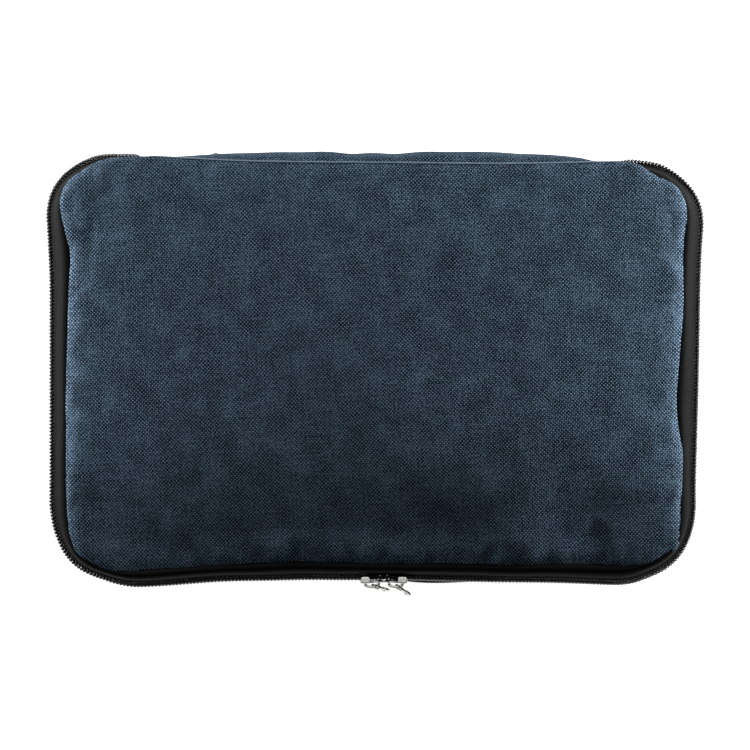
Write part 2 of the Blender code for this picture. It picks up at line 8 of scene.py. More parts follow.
import bpy
import numpy as np
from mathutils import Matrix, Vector


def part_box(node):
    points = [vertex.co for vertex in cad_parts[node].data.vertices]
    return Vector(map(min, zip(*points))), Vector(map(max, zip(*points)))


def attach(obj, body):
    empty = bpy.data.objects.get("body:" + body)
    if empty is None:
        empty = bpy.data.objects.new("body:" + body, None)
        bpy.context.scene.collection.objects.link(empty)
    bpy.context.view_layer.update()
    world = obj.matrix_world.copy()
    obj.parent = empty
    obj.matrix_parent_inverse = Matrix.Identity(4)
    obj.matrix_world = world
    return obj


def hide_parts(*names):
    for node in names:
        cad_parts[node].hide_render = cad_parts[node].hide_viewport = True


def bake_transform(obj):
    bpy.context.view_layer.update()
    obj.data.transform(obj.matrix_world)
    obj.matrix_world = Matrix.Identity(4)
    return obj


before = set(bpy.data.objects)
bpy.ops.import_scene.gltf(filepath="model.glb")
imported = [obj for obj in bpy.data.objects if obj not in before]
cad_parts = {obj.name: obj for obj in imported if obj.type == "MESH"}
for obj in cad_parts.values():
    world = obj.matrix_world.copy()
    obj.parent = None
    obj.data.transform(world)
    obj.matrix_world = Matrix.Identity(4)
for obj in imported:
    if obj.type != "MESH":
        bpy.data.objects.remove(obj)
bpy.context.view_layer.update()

MM = 0.001
MID = 20.0
PITCH = 1.54  # of the main zipper's coil

# The front panel's edge as it lies, anticlockwise from the left end of its top fold.
FRONT_EDGE = [
    (-101, 92.8), (-119, 91.2), (-128.5, 86), (-134.5, 81.5), (-137.6, 74), (-137.2, 68), (-134.8, 57.5),
    (-133, 49.5), (-133.8, 32), (-135, -14), (-134.8, -24), (-135, -51), (-133.6, -74), (-129.5, -83),
    (-118, -89.6), (-108, -90.6), (-78, -88.6), (-49, -87), (-34, -86.2), (0, -87.3), (30, -87.4),
    (95, -87.4), (114, -87.3), (122.5, -85.4), (129.3, -81.2), (133.3, -76.4), (134.2, -60), (134.8, -38),
    (133.2, -28),
    (132, -14), (133.6, 8), (135, 27), (135, 49.5), (136, 61), (136.8, 65.5), (136, 73), (131.5, 80),
    (122.5, 84.7), (114.5, 89.6), (104, 90.4), (60, 89.6), (10, 90), (-50, 90.6), (-78, 91.8),
]
BACK_EDGE = [
    (-101, 92), (-122, 89.5), (-133, 80), (-136, 66), (-134.5, 40), (-135, 0), (-135, -50), (-133.5, -73),
    (-124, -86), (-104, -88.5), (-50, -87), (0, -86.8), (60, -87), (104, -88.3), (123, -86), (133.5, -75),
    (134.8, -50), (134, 0), (134.8, 45), (135.5, 66), (131, 81), (118, 89.5), (100, 91.5), (0, 91.4),
]
ZIP_ENDS = (-102.0, 103.0)
# Where the soft side stands out from that plan line or in from it: x, y, size, how far.
SOFT_BULGES = [
    (-137, 78, 13, 1.5), (-141, 62, 16, 0.9), (-131, -86, 17, 2.0), (-121, -94, 11, -1.3),
    (131, -86, 15, 1.4), (122, -94, 17, -1.2), (141, 62, 20, 0.6), (139, 72, 13, 1.3),
    (142, -40, 45, -0.9), (141, -58, 22, -0.7), (120, 92, 16, -0.8),
]
LOWER_SIDE_BULGES = [(-98, 22, 0.4), (-64, 26, -1.2), (-30, 16, -0.6), (80, 24, -0.5)]  # x, size, how far
ZIP_CORNERS = [
    (-141.6, 93.6, 28), (-141.6, -96.2, 38), (4.1, -91.9, 60), (141.3, -95.6, 36), (142.4, 93.2, 32),
]
RIM_HEIGHT = 30.2  # of the front panel's edge
CROWN = 7.6  # how far its middle stands above that
LEAN = 5.4  # how far its lower side sinks
CLOTH_FRAMES = 20


# ---- node materials -----------------------------------------------------------------------------
class Look:
    """A material with a Principled shader, and short calls to add nodes to it."""

    def __init__(self, name, roughness=0.6, metallic=0.0, **constants):
        self.material = bpy.data.materials.new(name)
        self.material.use_nodes = True
        self.tree = self.material.node_tree
        self.shader = self.tree.nodes["Principled BSDF"]
        self.set("Roughness", roughness)
        self.set("Metallic", metallic)
        for key, value in constants.items():
            self.set(key.replace("_", " "), value)

    def set(self, socket, value):
        self.shader.inputs[socket].default_value = value

    def put(self, socket, output):
        self.tree.links.new(output, self.shader.inputs[socket])

    def node(self, kind, inputs=(), **settings):
        made = self.tree.nodes.new(kind)
        for key, value in settings.items():
            setattr(made, key, value)
        for key, value in dict(inputs).items():
            if isinstance(value, bpy.types.NodeSocket):
                self.tree.links.new(value, made.inputs[key])
            else:
                made.inputs[key].default_value = value
        return made

    def math(self, operation, a, b=0.0, c=0.0):
        return self.node("ShaderNodeMath", {0: a, 1: b, 2: c}, operation=operation).outputs[0]

    def times(self, a, b):
        return self.math("MULTIPLY", a, b)

    def times_plus(self, a, b, c):
        return self.math("MULTIPLY_ADD", a, b, c)

    def mix(self, factor, a, b):
        made = self.node("ShaderNodeMix", {"Factor": factor}, data_type="RGBA")
        for index, value in ((6, a), (7, b)):
            if isinstance(value, bpy.types.NodeSocket):
                self.tree.links.new(value, made.inputs[index])
            else:
                made.inputs[index].default_value = (*value, 1.0)
        return made.outputs[2]

    def noise(self, vector, scale, detail=2.0, roughness=0.5):
        inputs = {"Vector": vector, "Scale": scale, "Detail": detail, "Roughness": roughness}
        return self.node("ShaderNodeTexNoise", inputs).outputs["Fac"]

    def ramp(self, value, low, high):
        inputs = {"Value": value, "From Min": low, "From Max": high}
        return self.node("ShaderNodeMapRange", inputs, interpolation_type="SMOOTHSTEP").outputs[0]

    def bump(self, height, distance, strength=1.0):
        inputs = {"Height": height, "Distance": distance, "Strength": strength}
        self.put("Normal", self.node("ShaderNodeBump", inputs).outputs[0])

    def cloth_uv(self):
        uv = self.node("ShaderNodeUVMap", uv_map="cloth").outputs[0]
        parts = self.node("ShaderNodeSeparateXYZ", {0: uv})
        return parts.outputs[0], parts.outputs[1]

    def vector(self, x, y, z=0.0):
        return self.node("ShaderNodeCombineXYZ", {0: x, 1: y, 2: z}).outputs[0]


def woven(name, pitch, dark, light, roughness, bump, wander=0.0, slub=0.25, cloud=0.0, skew=0.0, **constants):
    """A plain weave with threads pitch metres apart. The light dots are where the light thread is on top;
    each thread crest is also painted lighter, a painted highlight.
    """
    look = Look(name, roughness, **constants)
    u, v = look.cloth_uv()
    flat = look.vector(u, v)
    if wander:
        drift = look.node("ShaderNodeTexNoise", {"Vector": flat, "Scale": 22.0, "Detail": 1.0})
        shift = look.node("ShaderNodeSeparateXYZ", {0: drift.outputs["Color"]})
        u = look.times_plus(shift.outputs[0], wander, u)
        v = look.times_plus(shift.outputs[1], wander, v)
    if skew:
        u, v = look.times_plus(v, skew, u), look.times_plus(u, -skew, look.times(v, 0.96))
    turn = math.pi / pitch
    check = look.times(*(look.math("COSINE", look.times(way, turn)) for way in (u, v)))
    over = look.ramp(check, -0.15, 1.0)
    fine, slow = 0.8 / pitch, 0.05 / pitch

    def threads(across, along, layer, detail=3.0, rough=0.7):
        return look.noise(look.vector(look.times(u, across), look.times(v, along), layer), 1.0, detail, rough)

    warp, weft = threads(fine, slow, 0.0), threads(slow, fine, 9.0)
    dots = threads(fine, fine, 4.0, 2.0, 0.6)
    patch = look.noise(flat, 75.0, 3.0, 0.6)
    crest = look.math("POWER", look.math("ABSOLUTE", check), 0.5)
    # crest lightens the colour on every thread crest: a painted highlight. It also shapes the bump.
    tone = look.times_plus(over, 0.74, look.times_plus(crest, 0.20, -0.05))
    for noise, share in ((warp, slub), (weft, slub), (dots, 3.0 * slub), (patch, cloud)):
        tone = look.times_plus(look.math("SUBTRACT", noise, 0.5), share * 2, tone)
    look.put("Base Color", look.mix(look.math("MAXIMUM", tone, 0.0), dark, light))
    look.bump(look.times_plus(over, 0.6, crest), bump)
    return look.material


def ribbed(name, pitch, colour, roughness, bump, diagonal=0.0, **constants):
    """Tape or ribbon: ribs across its length, with a fine nap."""
    look = Look(name, roughness, **constants)
    u, v = look.cloth_uv()
    phase = look.times_plus(v, diagonal, u)
    rib = look.math("ABSOLUTE", look.math("SINE", look.times(phase, math.pi / pitch)))
    nap = look.noise(look.vector(u, v), 900.0, 3.0, 0.6)
    level = look.ramp(look.times_plus(nap, 0.5, rib), 0.0, 1.5)
    look.put("Base Color", look.mix(level, [0.55 * c for c in colour], [1.35 * c for c in colour]))
    look.put("Roughness", look.times_plus(nap, 0.2, roughness - 0.1))
    look.bump(look.times_plus(nap, 0.6, rib), bump)
    return look.material


def moulded(name, colour, roughness, metallic=0.0, grain=400.0, bump=0.00002, smudge=0.12, **constants):
    """Plastic or metal with small unevenness in its gloss and surface."""
    look = Look(name, roughness, metallic, **constants)
    place = look.node("ShaderNodeTexCoord").outputs["Object"]
    cloud = look.noise(place, grain, 4.0, 0.6)
    look.put("Base Color", look.mix(cloud, [0.86 * c for c in colour], [min(1.0, 1.1 * c) for c in colour]))
    look.put("Roughness", look.times_plus(cloud, smudge, roughness - smudge / 2))
    look.bump(cloud, bump, 0.5)
    return look.material


def looks():
    return {
        "outer": woven(
            "outer_weave", 0.00079, (0.0014, 0.0054, 0.0118), (0.132, 0.206, 0.286), 0.9, 0.00006,
            wander=0.0022, slub=0.2, cloud=0.28, skew=0.042, Specular_IOR_Level=0.1,
        ),
        "lining": woven(
            "lining_weave", 0.00045, (0.030, 0.033, 0.040), (0.130, 0.140, 0.160), 0.6, 0.00004,
            cloud=0.1, Specular_IOR_Level=0.25,
        ),
        "tape": ribbed(
            "tape_rib", 0.00055, (0.0012, 0.00115, 0.0011), 0.6, 0.00004,
            diagonal=0.6, Specular_IOR_Level=0.04,
        ),
        "binding": ribbed("binding_rib", 0.0007, (0.018, 0.018, 0.020), 0.62, 0.00008),
        "coil": moulded("coil_nylon", (0.006, 0.0058, 0.0056), 0.3, grain=900.0, Specular_IOR_Level=1.0),
        "cord": moulded("coil_core", (0.006, 0.006, 0.006), 0.7, grain=900.0),
        "net": moulded("net_thread", (0.016, 0.016, 0.018), 0.7, grain=1200.0),
        "nickel": moulded(
            "nickel_plate", (0.86, 0.85, 0.82), 0.28, 1.0, grain=500.0, bump=0.00001, smudge=0.06
        ),
        "vinyl": moulded(
            "clear_vinyl", (0.90, 0.93, 0.95), 0.12, grain=120.0, bump=0.00008,
            Transmission_Weight=0.92, IOR=1.2,
        ),
        # a pale colour for the tube on the front's top fold: a painted highlight on the fold
        "fold": ribbed("fold_painted_highlight", 0.0008, (0.15, 0.20, 0.26), 0.85, 0.00004, Specular_IOR_Level=0.1),
        "thread": ribbed("sewing_thread", 0.0004, (0.035, 0.040, 0.048), 0.6, 0.00004),
        "dark_thread": ribbed("dark_thread", 0.0004, (0.020, 0.020, 0.022), 0.6, 0.00004),
    }


LOOKS = looks()


# ---- curves in the plane ------------------------------------------------------------------------
def unit(vectors):
    return vectors / np.linalg.norm(vectors, axis=-1, keepdims=True)


def outward(points, closed):
    """Unit vectors to the right of an anticlockwise line, which is outwards."""
    if closed:
        ahead = np.roll(points, -1, 0) - np.roll(points, 1, 0)
    else:
        ahead = np.gradient(points, axis=0)
    ahead = unit(ahead)
    return np.stack([ahead[:, 1], -ahead[:, 0]], 1)


def evenly(points, count, closed):
    """The line again with evenly spaced points."""
    line = np.vstack([points, points[:1]]) if closed else points
    run = np.concatenate([[0], np.cumsum(np.linalg.norm(np.diff(line, axis=0), axis=1))])
    where = np.linspace(0, run[-1], count + 1 if closed else count)
    made = np.stack([np.interp(where, run, line[:, k]) for k in range(line.shape[1])], 1)
    return made[:-1] if closed else made


def smooth_loop(points, count):
    """A closed Catmull-Rom curve through the points."""
    p = np.array(points, float)
    t = np.linspace(0, 1, 12, endpoint=False)[:, None]
    dense = []
    for k in range(len(p)):
        a, b, c, d = (p[(k + n) % len(p)] for n in (-1, 0, 1, 2))
        bend, twist = 2 * a - 5 * b + 4 * c - d, 3 * b - a - 3 * c + d
        dense.append(0.5 * (2 * b + (c - a) * t + bend * t**2 + twist * t**3))
    return evenly(np.vstack(dense), count, True)


def round_path(corners, closed, step):
    """Straight runs joined by arcs; a corner is x, y, radius."""
    count = len(corners)
    dense = []
    for i, (x, y, radius) in enumerate(corners):
        here = np.array([x, y], float)
        if not closed and i in (0, count - 1):
            dense.append(here[None])
            continue
        before = unit(np.array(corners[i - 1][:2], float) - here)
        after = unit(np.array(corners[(i + 1) % count][:2], float) - here)
        half = math.acos(float(np.clip(before @ after, -1, 1))) / 2
        centre = here + unit(before + after) * radius / math.sin(half)
        start, end = (here + way * radius / math.tan(half) - centre for way in (before, after))
        first = math.atan2(start[1], start[0])
        sweep = math.atan2(end[1], end[0]) - first
        sweep = (sweep + math.pi) % (2 * math.pi) - math.pi
        angles = first + sweep * np.linspace(0, 1, max(3, int(abs(sweep) / 0.05)))
        dense.append(centre + radius * np.stack([np.cos(angles), np.sin(angles)], 1))
    line = np.vstack(dense)
    edges = np.vstack([line, line[:1]]) if closed else line
    length = np.linalg.norm(np.diff(edges, axis=0), axis=1).sum()
    return evenly(line, int(length / step), closed)


def zip_path(step, inset=0.0):
    """The main zipper's line. It wanders in and out, as the soft edge does, and tucks in at both ends."""
    corners = [(ZIP_ENDS[0], ZIP_CORNERS[0][1], 0), *ZIP_CORNERS, (ZIP_ENDS[1], ZIP_CORNERS[-1][1], 0)]
    line = round_path(corners, False, step)
    normal = outward(line, False)
    x, y = line.T
    bow = 0.5 + sum(rise * bell(x, cx, size) * bell(y, cy, size) for cx, cy, size, rise in SOFT_BULGES)
    bow = bow * smoothstep(112, 124, np.abs(x))
    line = line + normal * (bow - inset)[:, None]
    for cx, size, rise in LOWER_SIDE_BULGES:
        line = line + normal * (rise * bell(x, cx, size) * (y < -80))[:, None]
    left = 2.4 * smoothstep(-105.5, -100.5, x)
    right = 2.0 * smoothstep(128, 114, x) + 1.3 * smoothstep(114, 104, x)
    line[:, 1] -= np.where(x < 0, left, right) * (y > 80)
    return line, normal


def rectangle(x0, x1, y0, y1, radius, step=4.0):
    corners = [(x0, y1, radius), (x0, y0, radius), (x1, y0, radius), (x1, y1, radius)]
    return round_path(corners, True, step)


def inside(low, high, inset, radius, step=4.0):
    """A rounded rectangle that far inside a box's plan."""
    return rectangle(low[0] + inset, high[0] - inset, low[1] + inset, high[1] - inset, radius, step)


def smoothstep(low, high, value):
    t = np.clip((value - low) / (high - low), 0, 1)
    return t * t * (3 - 2 * t)


def bell(value, centre, width):
    return np.exp(-(((value - centre) / width) ** 2))


def turn_angles(count):
    return 2 * math.pi * np.arange(count) / count


def mean_along(line, reach):
    """Each point moved to the mean of its neighbours, up to reach points away each way."""
    kernel = np.ones(2 * reach + 1) / (2 * reach + 1)
    return np.column_stack([np.convolve(np.pad(row, reach, "edge"), kernel, "valid") for row in line.T])


def distance_to(line, points):
    """How far each point is from the line's own points, and which of those is the nearest."""
    gaps = np.linalg.norm(points[:, None, :] - line[None, :, :], axis=2)
    nearest = gaps.argmin(1)
    return gaps[np.arange(len(points)), nearest], nearest


def seam_beside(edge, line, inset, reach):
    """The seam that far inside a panel's edge, at the spot nearest to each of the zipper's points."""
    edge = smooth_loop(edge, 1400)
    _, nearest = distance_to(edge, line)
    return mean_along(edge[nearest] - outward(edge, True)[nearest] * inset, reach)


# ---- meshes -------------------------------------------------------------------------------------
def piece(name, verts, faces, look, uv=None):
    """A mesh object from points in mm. uv is one flat position in mm per point."""
    mesh = bpy.data.meshes.new(name)
    mesh.from_pydata((np.asarray(verts, float) * MM).tolist(), [], [tuple(int(i) for i in f) for f in faces])
    mesh.validate()
    mesh.materials.append(LOOKS[look])
    layer = mesh.uv_layers.new(name="cloth")
    if uv is not None:
        corner = np.zeros(len(mesh.loops), np.int32)
        mesh.loops.foreach_get("vertex_index", corner)
        layer.data.foreach_set("uv", (np.asarray(uv, float)[corner] * MM).ravel().astype(np.float32))
    mesh.shade_smooth()
    made = bpy.data.objects.new(name, mesh)
    bpy.context.scene.collection.objects.link(made)
    return made


def strips(rows, columns, close_rows=False, close_columns=False, start=0, flip=False):
    """Quads between points laid out in rows."""
    faces = []
    for r in range(rows if close_rows else rows - 1):
        below, above = start + r * columns, start + (r + 1) % rows * columns
        for c in range(columns if close_columns else columns - 1):
            d = (c + 1) % columns
            quad = (below + c, below + d, above + d, above + c)
            faces.append(quad[::-1] if flip else quad)
    return faces


def loft(name, rails, look, closed=False, ring=False, flip=False, caps=False):
    """rails: (rows, points, 3). closed joins each row's ends, ring joins the last row to the first."""
    rails = np.asarray(rails, float)
    rows, columns = rails.shape[:2]
    along = np.cumsum(np.linalg.norm(np.diff(rails.mean(0), axis=0, prepend=rails.mean(0)[:1]), axis=1))
    across = np.cumsum(np.linalg.norm(np.diff(rails, axis=0, prepend=rails[:1]), axis=2).mean(1))
    uv = np.stack(np.meshgrid(along, across), -1).reshape(-1, 2)
    faces = strips(rows, columns, ring, closed, flip=flip)
    if caps:
        ends = [[r * columns for r in range(rows)], [r * columns + columns - 1 for r in range(rows)]]
        faces += [ends[0][:: 1 if flip else -1], ends[1][:: -1 if flip else 1]]
    return piece(name, rails.reshape(-1, 3), faces, look, uv)


def tube_rows(points, radius, sides, side_way):
    """Rings round a line in space; side_way is a direction that is never along it."""
    ahead = unit(np.gradient(points, axis=0))
    a = unit(np.cross(ahead, side_way))
    b = np.cross(ahead, a)
    angles = turn_angles(sides)
    ring = a[:, None, :] * np.cos(angles)[None, :, None] + b[:, None, :] * np.sin(angles)[None, :, None]
    radius = np.broadcast_to(np.asarray(radius, float), len(points))
    return points[:, None, :] + ring * radius[:, None, None]


def solidify(obj, thickness, offset=-1.0):
    wall = obj.modifiers.new("wall", "SOLIDIFY")
    wall.thickness = thickness * MM
    wall.offset = offset
    wall.use_even_offset = True
    return obj


def seat(obj, body, slot, *nodes):
    """The piece rides on a body and stands for CAD nodes; slot is not used."""
    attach(obj, body)
    if nodes:
        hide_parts(*nodes)
    return obj


def lift(line, z):
    """Points of the plane at a height."""
    return np.column_stack([line, np.broadcast_to(np.asarray(z, float), len(line))])


def stitches(name, path, body, look="dark_thread", up=(0, 0, 1), radius=0.22, rise=0.1):
    """A row of thread stitches laid along a 3-D path."""
    pitch, length = 2.8, 2.1
    path = np.asarray(path, float)
    run = np.concatenate([[0], np.cumsum(np.linalg.norm(np.diff(path, axis=0), axis=1))])
    starts = np.arange(pitch, run[-1] - pitch, pitch)
    verts, faces, uv = [], [], []
    share = np.array([0.0, 0.12, 0.5, 0.88, 1.0])
    thick = np.array([0.25, 0.85, 1.0, 0.85, 0.25]) * radius
    height = np.array([-1.0, 0.2, 0.6, 0.2, -1.0]) * radius + rise
    up = np.array(up, float)
    for start in starts:
        where = start + length * share
        line = np.stack([np.interp(where, run, path[:, k]) for k in range(3)], 1) + up * height[:, None]
        rings = tube_rows(line, thick, 6, up)
        base = len(verts)
        verts.extend(rings.reshape(-1, 3))
        uv.extend(np.stack(np.meshgrid(np.arange(6) * 0.2, where), -1).reshape(-1, 2))
        faces += strips(5, 6, close_columns=True, start=base)
        faces += [tuple(base + k for k in range(6))[::-1], tuple(base + 24 + k for k in range(6))]
    made = piece(name, verts, faces, look, uv)
    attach(made, body)
    return made


# ---- padded panels ------------------------------------------------------------------------------
def waves(x, y, seed, size, count=9):
    """Smooth unevenness between about -1 and 1, with bumps of about the given size."""
    rng = np.random.default_rng(seed)
    total = np.zeros_like(x, float)
    for _ in range(count):
        angle, phase = rng.uniform(0, 2 * math.pi), rng.uniform(0, 2 * math.pi)
        stretch = rng.uniform(0.7, 1.5)
        total += np.sin((x * math.cos(angle) + y * math.sin(angle)) * math.pi / (size * stretch) + phase)
    return total / math.sqrt(count)


def front_height(x, y, d):
    """Height of the front panel's outer surface; d is the distance in from its edge."""
    u, v = np.clip(np.abs(x) / 139, 0, 1), np.clip(np.abs(y) / 90, 0, 1)
    roll = 1.4 + 1.7 * smoothstep(58, 80, -y)  # the lower edge rolls over more gently than the others
    rim = RIM_HEIGHT + 2.0 * (1 - np.exp(-d / roll)) + 0.8 * (1 - np.exp(-d / 9))
    crown = CROWN * (1 - u**2.1) * (1 - v**2.4)
    sink = np.clip((-y - 5) / 82, 0, 1) ** 2 * (0.40 + 0.60 * np.clip(d / 16, 0, 1)) * (1.15 - 0.9 * u * u)
    hollows = -1.3 * bell(x, 22, 24) * bell(y, -66, 13) - 1.2 * bell(x, 92, 15) * bell(y, -66, 14)
    hollows += 0.9 * bell(x, 62, 13) * bell(y, -76, 10)
    uneven = 0.22 * waves(x, y, 3, 34) * np.clip(d / 14, 0, 1)
    pucker = 0.16 * waves(x, y, 5, 7) * bell(d, 4, 5) * np.clip(d, 0, 1)
    return rim + crown - LEAN * sink + hollows + uneven + pucker


def back_height(x, y, d):
    """Depth of the back panel's outer surface, as if it faced up."""
    inwards = (0, 0.5, 1.2, 2.2, 4, 6.5, 10, 16, 22)
    wall = np.interp(d, inwards, (30.0, 32.4, 33.9, 35.2, 36.4, 37.2, 37.8, 38.3, 38.6))
    return wall + 0.10 * waves(x, y, 11, 30) * np.clip(d / 14, 0, 1)


# Of each half: its name, its side, its body, its panel's edge and its panel's surface.
HALVES = (
    ("front", 1, "front_cover", FRONT_EDGE, front_height),
    ("back", -1, "back_half", BACK_EDGE, back_height),
)


def grid_rim(nx, ny):
    """The numbers of a grid's border points, anticlockwise."""
    index = np.arange((nx + 1) * (ny + 1)).reshape(ny + 1, nx + 1)
    return np.concatenate([index[0, :-1], index[:-1, -1], index[-1, :0:-1], index[:0:-1, 0]])


def panel_grid(edge, nx, ny, height, turn_under):
    """A padded panel: a grid of points that runs to a soft edge, then rings that turn under it."""
    angles = np.arctan2(edge[:, 1], edge[:, 0])
    order = np.argsort(angles)
    reach = np.linalg.norm(edge, axis=1)[order]
    half = np.abs(edge).max(0)
    s, t = np.meshgrid(np.linspace(-1, 1, nx + 1), np.linspace(-1, 1, ny + 1))
    s, t = (np.sign(k) * (1 - (1 - np.abs(k)) ** 1.3) for k in (s.ravel(), t.ravel()))  # closer at the edge
    theta = np.arctan2(t * half[1], s * half[0])
    share = np.maximum(np.abs(s), np.abs(t))
    radius = np.interp(theta, angles[order], reach, period=2 * math.pi) * share
    flat = np.stack([radius * np.cos(theta), radius * np.sin(theta)], 1)
    rim = grid_rim(nx, ny)
    d, _ = distance_to(evenly(edge, 900, True), flat)
    d[rim] = 0
    verts = np.column_stack([flat, height(flat[:, 0], flat[:, 1], d)])
    faces = strips(ny + 1, nx + 1)
    uv = flat.copy()
    border = flat[rim]
    normal = outward(border, True)
    last, run, before = rim, 0.0, (0.0, 0.0)
    for inset, drop in turn_under:
        run += math.hypot(inset - before[0], drop - before[1])
        before = (inset, drop)
        fresh = len(verts) + np.arange(len(rim))
        verts = np.vstack([verts, np.column_stack([border - normal * inset, verts[rim, 2] - drop])])
        uv = np.vstack([uv, border + normal * run])
        faces += list(zip(last, fresh, np.roll(fresh, -1), np.roll(last, -1)))
        last = fresh
    return verts, faces, uv


def padded_panel(name, edge, height, side, nx=150, ny=100):
    verts, faces, uv = panel_grid(edge, nx, ny, height, ((0.1, 0.8), (0.8, 1.5), (2.4, 1.8)))
    verts[:, 2] = MID + side * (verts[:, 2] - MID)
    if side < 0:
        faces = [f[::-1] for f in faces]
    made = piece(name, verts, faces, "outer", uv)
    turned_under = np.arange((nx + 1) * (ny + 1), len(verts))
    relax(made, np.concatenate([grid_rim(nx, ny), turned_under]), pressure=3.0, grow=0.012, cap=0.5)
    return made


def relax(obj, held, pressure, grow, cap):
    """Lets the panel swell as roomy cloth sewn down along its edge, so that it takes its own soft puckers."""
    before = np.zeros(len(obj.data.vertices) * 3, np.float32)
    after = before.copy()
    obj.data.vertices.foreach_get("co", before)
    pins = obj.vertex_groups.new(name="held")
    pins.add([int(i) for i in held], 1.0, "REPLACE")
    cloth = obj.modifiers.new("cloth", "CLOTH")
    settings = cloth.settings
    settings.quality = 5
    settings.mass = 0.3
    settings.tension_stiffness = settings.compression_stiffness = 20
    settings.shear_stiffness = 8
    settings.bending_stiffness = 3.0
    settings.vertex_group_mass = pins.name
    settings.use_pressure = True
    settings.uniform_pressure_force = pressure
    settings.shrink_min = -grow
    settings.effector_weights.gravity = 0
    cloth.collision_settings.use_collision = False
    cloth.point_cache.frame_start, cloth.point_cache.frame_end = 1, CLOTH_FRAMES
    for step in range(CLOTH_FRAMES):
        bpy.context.scene.frame_set(step + 1)
    relaxed = obj.evaluated_get(bpy.context.evaluated_depsgraph_get())
    relaxed.data.vertices.foreach_get("co", after)
    move = (after - before).reshape(-1, 3)
    length = np.linalg.norm(move, axis=1, keepdims=True)
    move *= cap * MM / np.maximum(length + cap * MM, 1e-9)  # no point moves further than cap
    obj.modifiers.remove(cloth)
    obj.data.vertices.foreach_set("co", before + move.ravel())
    obj.data.update()
    bpy.context.scene.frame_set(1)


def outer_panels():
    for word, side, body, edge, height in HALVES:
        panel = padded_panel(word + "_panel", smooth_loop(edge, 700), height, side)
        solidify(panel, 0.6)
        seat(panel, body, "outer_fabric", word + "_shell", word + "_foam")


# ---- spine --------------------------------------------------------------------------------------
def spine_fabric():
    """The strip from panel to panel over both folds, in two halves."""
    x = np.linspace(-101, 101, 150)
    along = (-101, -96, -90, -68, -33, 53, 70, 81, 93, 97, 101)
    swell = np.interp(x, along, (0.2, 1.3, 1.9, 3.2, 4.1, 4.1, 3.3, 2.3, 1.0, -0.6, -2.2))
    swell = mean_along(swell[:, None], 3)[:, 0]
    swell = swell - 0.75 * bell(x, 7, 9) - 0.9 * bell(x, -9, 8) - 0.3 * bell(x, 60, 14)
    for name, side, other in (("spine_upper", 1, "front_cover"), ("spine_lower", -1, "back_half")):
        rows = []
        for h in np.linspace(0, 9.6, 26):
            crest = 2.4 if side > 0 else -2.4  # the lip is fullest a little above the middle
            round_out = np.clip(1 - ((h - crest) / (9.2 - crest)) ** 2, -0.6, 1)
            tuck = 2.0 * smoothstep(7.4, 9.6, h)
            y = 91.2 + swell * round_out - tuck + 0.12 * waves(x, np.full_like(x, h * side), 21, 9)
            rows.append(np.column_stack([x, y, np.full_like(x, MID + side * h)]))
        made = loft(name, rows, "outer", flip=side > 0)
        solidify(made, 0.7)
        on_spine, on_panel = ((0, 0.0919, (MID + side * h) * MM) for h in (6.6, 11.0))
        if side > 0:
            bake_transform(made)
            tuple(on_spine)
            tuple(on_panel)
        else:
            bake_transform(made)
            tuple(on_panel)
            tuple(on_spine)
        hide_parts(*(("spine_shell", "spine_foam") if side > 0 else ()))
    # A thin pale tube along the front's top fold. Its pale colour is a painted highlight on the fold.
    edge = smooth_loop(FRONT_EDGE, 1400)
    edge = edge[(edge[:, 1] > 88) & (np.abs(edge[:, 0] - 5) < 104)]
    edge = edge[np.argsort(edge[:, 0])][::3]
    fold = tube_rows(lift(edge - np.array([0, 0.05]), 30.8), 0.36, 8, (0, 0, 1)).transpose(1, 0, 2)
    fold = loft("front_fold_painted_highlight", fold, "fold", ring=True, caps=True)
    seat(fold, "front_cover", "outer_fabric")
    rows = []
    for h in np.linspace(-8.4, 8.4, 16):
        y = 88.1 + 3.6 * (1 - (h / 8.6) ** 2) + 0.15 * waves(x, np.full_like(x, h), 23, 11)
        y -= 3.4 * smoothstep(90, 99, np.abs(x))  # it draws in behind the ends of the outer fabric
        rows.append(np.column_stack([x * 0.97, y, np.full_like(x, MID + h)]))
    lining = solidify(loft("spine_lining_skin", rows, "lining"), 0.5)
    seat(lining, "spine", "lining", "spine_lining")


# ---- main zipper --------------------------------------------------------------------------------
def gussets():
    """The black tape from each panel's edge to the coil: a soft roll, then the flat tape below it."""
    line, normal = zip_path(1.6, inset=0.5)
    x, y = line.T
    foot = smoothstep(-62, -84, y) * smoothstep(133, 108, np.abs(x))  # how much of the lower side this is
    for word, side, body, edge, _ in HALVES:
        seam = seam_beside(edge, line, 2.0, 4)
        bulge = 0.5 * waves(x, y, 31 + side, 16)
        belly = 0.6 * foot if side > 0 else (1.0 + 5.6 * bell(x, 26, 34)) * foot
        profile = []
        for share, height, out in (
            (0.0, 9.6, 0), (0.25, 10.3, 0.3), (0.5, 9.9, 0.7), (0.72, 8.4, 0.9), (0.88, 6.6, 0.8),
            (0.97, 5.0, 0.4), (1.0, 3.6, 0), (1.0, 2.2, 0), (1.0, 0.7, 0),
        ):
            tape = line - normal * (1.2 + 1.5 * (height > 4.0))
            push = out * (0.6 + 0.25 * bulge + belly)
            low = height - 1.0 * foot * (share == 0)  # stays under the panel's edge
            rise = MID + side * (low + 0.15 * bulge * (out > 0))
            profile.append(lift(seam + (tape - seam) * share + normal * push[:, None], rise))
        made = loft(word + "_gusset", profile, "tape", flip=side < 0)
        smooth = made.modifiers.new("soft", "SUBSURF")
        smooth.levels = smooth.render_levels = 1
        solidify(made, 0.5)
        seat(made, body, "zipper_tape", word + "_zipper_tape")


